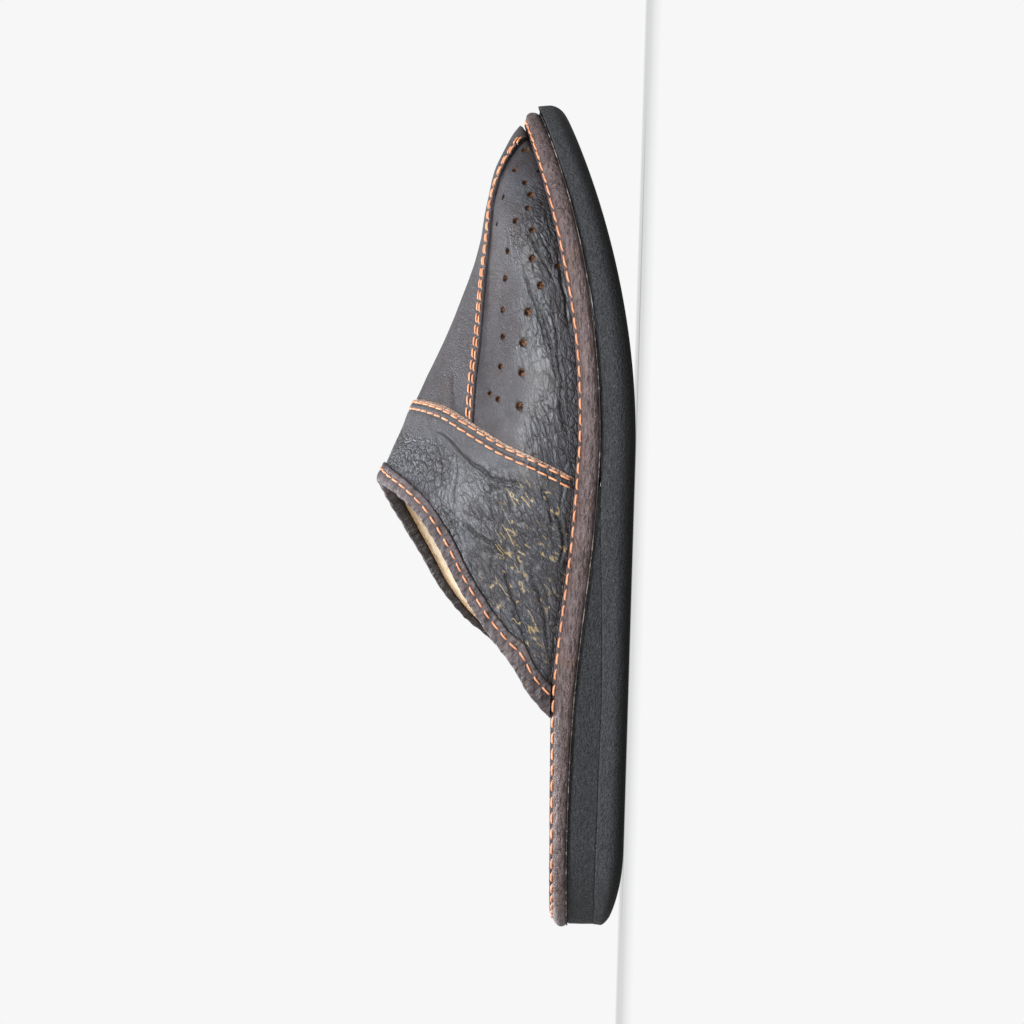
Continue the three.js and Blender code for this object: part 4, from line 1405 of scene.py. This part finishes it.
def build_upper():
    rows, columns = fitting(341, INNER_STEP), fitting(261, INNER_STEP)
    share = np.interp(np.linspace(0, 1, rows), (0, 0.9, 1), (0, 0.78, 1)) ** 1.06
    coarse = np.linspace(0, 1, 160)
    tip = tip_of(0)
    turns = np.broadcast_to(coarse, (rows, len(coarse)))
    xs = mix(tip, collar_at(coarse)[None, :], share[:, None])
    turns = resampled(turns, xs, 0.0, columns, spread=((0, 0.42, 0.58, 1), (0, 0.3, 0.7, 1)))
    xs = mix(tip, collar_at(turns), share[:, None])
    outer = upper_point(xs, turns, 0.0)
    relief, fields = leather_relief(outer)
    outer = outer + normals_out(outer) * relief[..., None]
    inner = upper_point(coarser(xs, INNER_STEP), coarser(turns, INNER_STEP), UPPER_WALL)
    holes = hole_places(outer, HOLES)
    sheet_piece(
        "perforated_upper", outer, inner, [SIDE_LEATHER, CREAM_LINING, HOLE_BOTTOM],
        ["upper"], fields, holes, inner_slot=1,
    )


EDGE_STEPS = (0.0, 0.1, 0.24, 0.45, 0.75)
OVERLAY_INNER = -0.05  # depth of the panel's and band's inner faces
PANEL_FIRST_ROW = 1.0  # panel's edge to its first stitch row
BINDING_OUTSIDE = BAND_OUTER - 0.1
BINDING_INSIDE = UPPER_WALL + 0.1


def edge_depth(distance, outer, inner, rounding=0.5):
    """Depth of a patch near its border: it rounds down from the outer face to the inner one."""
    t = 1 - np.clip(distance / rounding, 0, 1)
    return mix(inner, outer, np.sqrt(np.maximum(1 - t * t, 0)))


def lengths_across(grid):
    """Distance of each point of a grid from the nearer end of its row."""
    reach = lengths_along(grid)
    return np.minimum(reach, reach[:, -1:] - reach)


def row_marks(count, length, at_start=True, at_end=True):
    """Distances along a patch, with extra ones close to the ends that show."""
    near = np.array(EDGE_STEPS)
    low = near if at_start else np.array([0.0])
    high = length - near[::-1] if at_end else np.array([length])
    inner = np.linspace(low[-1], high[0], count)[1:-1]
    return np.concatenate([low, inner, high])


def panel_turns(xs, lanes):
    """Turns of the panel's lanes, which share out the way from one of its edges to the other."""
    foot = 0.8 * OVERLAY_FOOT
    return mix(panel_turn(xs, "outer", foot), panel_turn(xs, "inner", foot), lanes[None, :])


def build_centre_panel():
    tip = float(crossing(lambda x: 0.9 * OVERLAY_FOOT - ridge_rise(x), UPPER_TIP - TOE_RADIUS, UPPER_TIP))
    back = float(band_front_at(0.5))
    shares = row_marks(225, tip - back, at_start=False) / (tip - back)
    lanes = np.linspace(0, 1, 90)
    turns = panel_turns(mix(tip, back, shares)[:, None], lanes)
    xs = mix(tip, band_front_at(turns) + 0.15, shares[:, None])
    turns = resampled(panel_turns(xs, lanes), xs, PANEL_OUTER, 177, EDGE_STEPS)
    ends = band_front_at(turns) + 0.15
    xs = mix(tip, ends, shares[:, None])
    flat = upper_point(xs, turns, PANEL_OUTER)
    from_side = lengths_across(flat)
    from_back = np.abs(xs - ends)
    pressed = smooth((flat[..., 2] - upper_base(xs)) / 4)
    outer_depth = mix(PANEL_OUTER * 0.5, PANEL_OUTER, pressed)
    depth = edge_depth(np.minimum(from_side, from_back + 0.4), outer_depth, OVERLAY_INNER)
    outer = upper_point(xs, turns, depth)
    relief, fields = leather_relief(flat)
    relief = relief * smooth(from_side / 3)
    pull = seam_pull(from_side, PANEL_FIRST_ROW + PANEL_ROW_GAP / 2, 1.5)
    outer = outer + normals_out(flat) * (relief - pull)[..., None]
    inner = upper_point(coarser(xs, INNER_STEP), coarser(turns, INNER_STEP), OVERLAY_INNER)
    sheet_piece("centre_strip", outer, inner, [PANEL_LEATHER], ["centre_panel"], fields)


def seam_pull(distance, seam, width):
    """How far thread pulls leather down along a seam."""
    return 0.22 * np.exp(-(((distance - seam) / width) ** 2))


def over_panel_at(turns, fronts):
    """How far the band lies on the centre panel, from 0 to 1."""
    past_outer = smooth((turns - panel_turn(fronts, "outer")) / 0.02)
    return past_outer * smooth((panel_turn(fronts, "inner") - turns) / 0.02)


def band_face(turns, fronts, from_front):
    """Depth of the band's outer face, which the panel lifts along the cross seam."""
    return BAND_OUTER - 0.75 * over_panel_at(turns, fronts) * smooth(1 - from_front / BAND_LIFT_LENGTH)


def band_turns(xs, lanes):
    """Turns of the band's lanes, from its foot on one side to its foot on the other."""
    foot = 0.8 * OVERLAY_FOOT
    low = turn_at_rise(xs[:, :1], foot, 0)
    high = 1 - turn_at_rise(xs[:, -1:], foot, 0)
    return mix(low, high, lanes[None, :])


def build_band():
    lanes = np.linspace(0, 1, 200)
    rows = row_marks(181, 30.0, at_end=False)[:, None] / 30
    xs = mix(band_front_at(lanes), collar_at(lanes), rows)
    low = turn_at_rise(xs[:, :1], 0.8 * OVERLAY_FOOT, 0)
    turns = mix(low, 1 - low, lanes[None, :])
    for _ in range(2):
        xs = mix(band_front_at(turns), collar_at(turns), rows)
        turns = band_turns(xs, lanes)
    xs = mix(band_front_at(turns), collar_at(turns), rows)
    turns = resampled(turns, xs, BAND_OUTER, 461)
    fronts = band_front_at(turns)
    xs = mix(fronts, collar_at(turns), rows)
    flat = upper_point(xs, turns, BAND_OUTER)
    from_front = fronts - xs
    pressed = smooth((flat[..., 2] - upper_base(xs)) / 4)
    outer_depth = mix(BAND_OUTER * 0.45, band_face(turns, fronts, from_front), pressed)
    outer = upper_point(xs, turns, edge_depth(from_front + 0.02, outer_depth, OVERLAY_INNER, 0.45))
    relief, fields = leather_relief(flat)
    relief = relief * smooth(from_front / 3)
    pull = seam_pull(from_front, SEAM_FIRST_ROW, 0.5)
    pull = pull + seam_pull(from_front, SEAM_FIRST_ROW + SEAM_ROW_GAP, 0.8)
    outer = outer + normals_out(flat) * (relief - pull)[..., None]
    fields["raw"] = smooth((0.8 - from_front + 0.3 * layered_noise(flat, 1.5, 91, 2)) / 0.25)
    inner = upper_point(coarser(xs, INNER_STEP), coarser(turns, INNER_STEP), OVERLAY_INNER)
    sheet_piece("instep_piece", outer, inner, [BAND_LEATHER], ["instep_band"], fields)


def stride_from(line, turns):
    """How far x moves for each millimetre of a walk over the upper, square to a line on it."""
    step = 0.004
    before = upper_point(line(turns - step), turns - step, 0.0)
    after = upper_point(line(turns + step), turns + step, 0.0)
    along = unit(after - before)
    ahead = upper_point(line(turns) + 1, turns, 0.0) - upper_point(line(turns), turns, 0.0)
    ahead = ahead - along * np.sum(ahead * along, axis=-1, keepdims=True)
    return 1 / np.linalg.norm(ahead, axis=-1)


def collar_turns(count):
    """Turns from foot to foot of the collar, evenly spaced by length along its edge."""
    foot = float(turn_at_rise(float(collar_at(0.02)), 0.7 * OVERLAY_FOOT, 0))
    turns = np.linspace(foot, 1 - foot, 1200)
    reach = lengths_along(upper_point(collar_at(turns), turns, BAND_OUTER))
    spaced = np.linspace(0, reach[-1], count)
    return np.interp(spaced, reach, turns), spaced


def collar_points(turns, along, depth):
    return upper_point(collar_at(turns) + along * stride_from(collar_at, turns), turns, depth)


def seam_shift(turns):
    """How much farther in the binding's seam lies close to the sole."""
    return 1.3 * (1 - smooth((turns - 0.05) / 0.12)) * (turns < 0.5)


def binding_section():
    """The binding's section: distance from the collar's edge, depth, and how much of the pucker shows."""
    skin, outside, inside = BINDING_SKIN, BINDING_OUTSIDE, BINDING_INSIDE
    fold = (outside + inside) / 2
    return (
        (BINDING_WIDTH, outside + 0.05, 0.0),
        (BINDING_WIDTH + 0.12, outside - skin * 0.3, 0.5),
        (BINDING_WIDTH - 0.1, outside - skin * 0.6, 0.5),
        (BINDING_WIDTH - 0.6, outside - skin * 0.7, 0.5),
        (BINDING_SEAM + 0.9, outside - skin * 0.68, 0.7),
        (BINDING_SEAM + 0.4, outside - skin * 0.5, 0.7),
        (BINDING_SEAM, outside - skin * 0.36, 0.7),
        (BINDING_SEAM - 0.4, outside - skin * 0.52, 0.7),
        (BINDING_SEAM - 0.9, outside - skin * 0.8, 0.7),
        (BINDING_SEAM - 1.4, outside - skin * 0.95, 1.0),
        (BINDING_SEAM - 1.9, outside - skin, 1.0),
        (BINDING_SEAM - 2.5, outside - skin * 0.95, 1.0),
        (BINDING_SEAM - 3.1, outside - skin * 0.75, 1.0),
        (-0.1, outside - skin * 0.35, 1.0),
        (-0.5, mix(outside, fold, 0.35), 1.0),
        (-0.75, mix(outside, fold, 0.8), 1.0),
        (-0.75, mix(fold, inside, 0.4), 1.0),
        (-0.5, mix(fold, inside, 0.9), 1.0),
        (-0.2, inside + skin * 0.6, 1.0),
        (BINDING_TUCK * 0.2, inside + skin * 0.9, 1.0),
        (BINDING_TUCK * 0.5, inside + skin, 1.0),
        (BINDING_TUCK * 0.8, inside + skin * 0.8, 1.0),
        (BINDING_TUCK, inside + skin * 0.35, 0.0),
        (BINDING_TUCK, inside, 0.0),
        (0.3, inside, 0.0),
        (0.0, fold, 0.0),
        (0.3, outside, 0.0),
    )


FOLD_ROW = 13  # the section's first row past the collar's edge


def binding_columns(turns, section, far):
    """The binding without its puckers: wider by the sole, and shorter over the ridge and far inside."""
    ridge = np.exp(-(((turns - 0.52) / 0.1) ** 2))
    columns = []
    for along, depth, _ in section:
        fold_share = float(np.clip((BINDING_SEAM - 1 - along) / BINDING_SEAM, 0, 1))
        on_outside = 1.0 if depth < BINDING_OUTSIDE + 0.1 else 0.0
        stretch = seam_shift(turns) * on_outside * min(max(along, 0) / BINDING_SEAM, 1)
        stretch = stretch - 1.4 * ridge * fold_share
        stretch = stretch - 0.5 * far * (1 - on_outside) * max(along, 0)
        columns.append(collar_points(turns, along + stretch, depth))
    return np.stack(columns, axis=1)


def build_binding():
    """Leather folded over the collar's edge, puckered between its stitches."""
    turns, reach = collar_turns(760)
    section = binding_section()
    far = smooth((turns - 0.54) / 0.06)
    grid = binding_columns(turns, section, far)
    away = unit(grid - grid.mean(axis=1, keepdims=True), 1e-6)
    pucker = 0.1 * np.cos(reach / COLLAR_STITCH["pitch"] * 2 * np.pi)[:, None]
    rows, columns = grid.shape[:2]
    lanes = np.arange(columns)[None, :]
    where = np.stack(np.broadcast_arrays(reach[:, None] / 2.4, lanes / 9, 0.0 * lanes), -1)
    folds = 0.16 * layered_noise(where, 1.0, 83, 2)
    shown = np.array([share for _, _, share in section])
    grid = grid + away * ((pucker + folds) * shown[None, :])[..., None]
    faces = grid_faces(rows, columns, closed=True).tolist()
    last = (rows - 1) * columns
    faces.append(list(range(columns))[::-1])
    faces.append([last + i for i in range(columns)])
    reaches = np.repeat(reach, columns)
    fields = {
        "slant": np.full(grid.shape[:2], 0.15).ravel(),
        # mask of the painted shade in the hollows of the binding's folds
        "creased": np.ravel(np.clip(-folds * 4, 0, 0.8)),
        "rubbed": 0.2 * smooth((40 - reaches) / 30),
        "shade": np.ravel(far[:, None] * smooth((lanes - FOLD_ROW) / 3)),
    }
    make_piece(
        "collar_fold", grid.reshape(-1, 3), faces, [BINDING_LEATHER],
        ["collar_binding"], None, fields,
    )


# Stitches
def stitch_row(path, normals, stitch, seed, lean=0.0, sink=0.25):
    """Thread segments along a path: each comes up out of the leather, lies on it and goes back in."""
    sides, stations = 8, 9
    reach = lengths_along(path)
    count = int(reach[-1] / stitch["pitch"])
    pitch = reach[-1] / count
    noise = np.random.default_rng(seed)
    points, faces = [], []
    for i in range(count):
        length = min(stitch["length"] * noise.uniform(0.94, 1.04), pitch * 0.94)
        centre = (i + 0.5) * pitch + noise.uniform(-0.08, 0.08)
        at = centre + np.linspace(-0.5, 0.5, stations) * length
        spine = np.stack([np.interp(at, reach, path[:, k]) for k in range(3)], -1)
        up = unit(np.stack([np.interp(at, reach, normals[:, k]) for k in range(3)], -1))
        share = np.linspace(-1, 1, stations)
        arch = (1 - share**4) * stitch["radius"] * 1.15 - sink - 0.45 * share**8
        side = np.cross(up, unit(spine[-1] - spine[0]))
        spine = spine + up * arch[:, None] + side * (lean * share)[:, None]
        spine = spine + side * noise.uniform(-0.05, 0.05)
        radius = stitch["radius"] * np.sqrt(np.maximum(1 - 0.75 * share**6, 0.05))
        start = len(points)
        angle = np.arange(sides) / sides * 2 * np.pi
        for k in range(stations):
            for a in angle:
                points.append(spine[k] + radius[k] * (math.cos(a) * side[k] + math.sin(a) * up[k]))
        faces.extend(grid_faces(stations, sides, start, closed=True).tolist())
        last = start + (stations - 1) * sides
        faces.append([start + k for k in range(sides)][::-1])
        faces.append([last + k for k in range(sides)])
    return points, faces


def thread_piece(name, rows):
    """One piece of all the stitches of several rows."""
    points, faces = [], []
    for more_points, more_faces in rows:
        faces.extend([[i + len(points) for i in face] for face in more_faces])
        points.extend(more_points)
    make_piece(name, points, faces, [THREAD])


def path_normals(xs, turns, depth):
    """Outward normals of the upper along a path on it."""
    step = 0.4
    here = upper_point(xs, turns, depth)
    ahead = upper_point(xs + step, turns, depth) - here
    across = upper_point(xs, turns + 0.002, depth) - here
    normal = unit(np.cross(ahead, across))
    out = upper_point(xs, turns, depth - 1.0) - here
    facing = np.sign(np.sum(normal * out, axis=1, keepdims=True))
    return normal * facing


def build_rand_stitches():
    path = ring(0.6 * RAND_WIDTH, lambda x: platform_top(x) - 0.05, TOE_SETBACK)
    path = np.vstack([path, path[:1]])
    inward = ring(0.95 * RAND_WIDTH, lambda x: platform_top(x), TOE_SETBACK)
    inward = np.vstack([inward, inward[:1]])
    out = path - inward
    out[:, 2] = 0
    normals = unit(out, 1e-6) * 0.75 + np.array([0, 0, 0.66])
    thread_piece("rand_stitches", [stitch_row(path, normals, STITCH, 101, sink=0.12)])


def build_panel_stitches():
    rows = []
    step = 0.01
    start = float(crossing(lambda x: 1.6 * OVERLAY_FOOT - ridge_rise(x), UPPER_TIP - TOE_RADIUS, UPPER_TIP))
    for side, sign, seed in (("outer", 1, 111), ("inner", -1, 113)):
        for row in range(2):
            distance = PANEL_FIRST_ROW + row * PANEL_ROW_GAP
            xs = np.linspace(start - 4, SOLE_LENGTH * 0.6, 400)
            edge = panel_turn(xs, side)
            beside = upper_point(xs, edge + sign * step, PANEL_OUTER)
            width = np.linalg.norm(beside - upper_point(xs, edge, PANEL_OUTER), axis=1)
            turns = edge + sign * step * distance / width
            kept = xs > band_front_at(turns) + 0.3
            xs, turns = xs[kept], turns[kept]
            path = upper_point(xs, turns, PANEL_OUTER)
            normals = path_normals(xs, turns, PANEL_OUTER)
            rows.append(stitch_row(path, normals, PANEL_STITCH, seed + row, 0.14 * sign, 0.2))
    thread_piece("centre_stitches", rows)


def build_seam_stitches():
    rows = []
    turns = np.linspace(0.035, 0.965, 900)
    fronts = band_front_at(turns)
    for row in range(2):
        back = SEAM_FIRST_ROW + row * SEAM_ROW_GAP
        xs = fronts - back * stride_from(band_front_at, turns)
        path = upper_point(xs, turns, band_face(turns, fronts, back))
        normals = path_normals(xs, turns, BAND_OUTER)
        rows.append(stitch_row(path, normals, SEAM_STITCH, 121 + row, 0.1, 0.22))
    thread_piece("cross_seam_stitches", rows)


def build_collar_stitches():
    turns, _ = collar_turns(900)
    seam = BINDING_SEAM + seam_shift(turns)
    path = collar_points(turns, seam, BINDING_OUTSIDE - BINDING_SKIN * 0.5)
    normals = path_normals(collar_at(turns) + seam * stride_from(collar_at, turns), turns, BAND_OUTER)
    row = stitch_row(path, normals, COLLAR_STITCH, 131, sink=0.12)
    thread_piece("collar_stitches", [row])


# Studio
CAMERA_DISTANCE = 1.4  # metres from the shoe's mid-plane
FOCAL_PIXELS = 3950  # lens length in pixels of the frame
FRAME_PIXELS = 1024
SENSOR = 36.0
CAMERA_ALONG = 145.75  # the camera's place along the shoe, in mm from the heel end
CAMERA_HEIGHT = 4.0  # mm over the floor, which stops it from going lower
AIM = (145.0, 0.0, 43.0)
ROLL = math.radians(1.72)


def place_camera():
    data = bpy.data.cameras.new("camera")
    data.sensor_width = SENSOR
    data.lens = FOCAL_PIXELS * SENSOR / FRAME_PIXELS
    camera = new_object("camera", data)
    bpy.context.scene.camera = camera
    spot = Vector(to_row([CAMERA_ALONG, -CAMERA_DISTANCE * 1000 - SHIFT_Y, CAMERA_HEIGHT]))
    target = Vector(to_row([AIM[0], -SHIFT_Y, AIM[2]]))
    ahead = (target - spot).normalized()
    up = Vector((math.cos(ROLL), 0, math.sin(ROLL)))
    up = (up - ahead * up.dot(ahead)).normalized()
    right = ahead.cross(up)
    turn = Matrix((right, up, -ahead)).transposed()
    camera.matrix_world = Matrix.Translation(spot) @ turn.to_4x4()
    data.clip_start, data.clip_end = 0.05, 50


def add_light(name, place, target, size, power, colour=(1, 1, 1)):
    data = bpy.data.lights.new(name, "AREA")
    data.shape = "RECTANGLE"
    data.size, data.size_y = size
    data.energy = power
    data.color = colour
    lamp = new_object(name, data)
    spot = Vector(place)
    lamp.location = spot
    lamp.rotation_mode = "QUATERNION"
    lamp.rotation_quaternion = (Vector(target) - spot).to_track_quat("-Z", "Y")
    return lamp


PAPER_WHITE = 0.93
FLOOR_FADE = (0.3, 0.75)  # metres from the shoe, over which the floor turns to plain white
FLOOR_REACH = 8.0  # metres to each side
FLOOR_DROP = 0.0002  # metres under the shoe, so that the two don't flicker


def build_floor():
    """A pale floor that catches a soft shadow by the shoe and is plain white farther out."""
    n = Nodes("floor_paper")
    spread = n.add("ShaderNodeVectorMath", {0: n.place()}, operation="LENGTH").outputs["Value"]
    far = n.ramp(spread, *FLOOR_FADE)
    n.put(n.shader.inputs["Base Color"], n.colour(far, (0.09, 0.09, 0.09), (0.0, 0.0, 0.0)))
    glow = n.colour(far, (0.46, 0.46, 0.46), (PAPER_WHITE, PAPER_WHITE, PAPER_WHITE))
    n.put(n.shader.inputs["Emission Color"], glow)
    n.shader.inputs["Emission Strength"].default_value = 1.0
    n.shader.inputs["Roughness"].default_value = 1.0
    n.shader.inputs["Specular IOR Level"].default_value = 0.0
    mesh = bpy.data.meshes.new("floor")
    corners = [(x * FLOOR_REACH, y * FLOOR_REACH, 0) for x, y in ((-1, -1), (1, -1), (1, 1), (-1, 1))]
    mesh.from_pydata(corners, [], [(0, 1, 2, 3)])
    mesh.materials.append(n.material)
    floor = new_object("floor", mesh)
    floor.location.z = -FLOOR_DROP


def build_world():
    """White paper all round. It lights the shoe less than it shows, as a white sweep behind it does."""
    scene = bpy.context.scene
    scene.view_settings.view_transform = "Standard"
    world = bpy.data.worlds.new("studio")
    scene.world = world
    world.use_nodes = True
    tree = world.node_tree
    background = tree.nodes["Background"]
    background.inputs["Color"].default_value = (PAPER_WHITE, PAPER_WHITE, PAPER_WHITE, 1)
    seen = tree.nodes.new("ShaderNodeLightPath").outputs["Is Camera Ray"]
    strength = tree.nodes.new("ShaderNodeMapRange")
    strength.inputs["To Min"].default_value = 0.32
    strength.inputs["To Max"].default_value = 1.0
    tree.links.new(seen, strength.inputs["Value"])
    tree.links.new(strength.outputs[0], background.inputs["Strength"])


def build_studio():
    build_world()
    build_floor()
    centre = (0, 0, 0.04)
    add_light("key_high", (0.12, -0.75, 0.95), centre, (0.5, 0.4), 22, (0.95, 0.975, 1))
    add_light("far_high", (-0.1, 0.5, 1.05), centre, (0.5, 0.4), 12, (0.96, 0.98, 1))
    add_light("toe_soft", (0.8, -0.7, 0.7), centre, (0.4, 0.4), 5, (0.95, 0.975, 1))
    add_light("heel_fill", (-1.0, -0.45, 0.28), centre, (0.45, 0.25), 4, (1, 0.98, 0.95))
    add_light("far_fill", (-0.3, 1.0, 0.5), centre, (0.7, 0.7), 4)


build_outsole()
build_tread()
build_wedge()
build_rand()
build_edge_line()
build_insole()
build_upper()
build_centre_panel()
build_band()
build_binding()
build_rand_stitches()
build_panel_stitches()
build_seam_stitches()
build_collar_stitches()
place_camera()
build_studio()
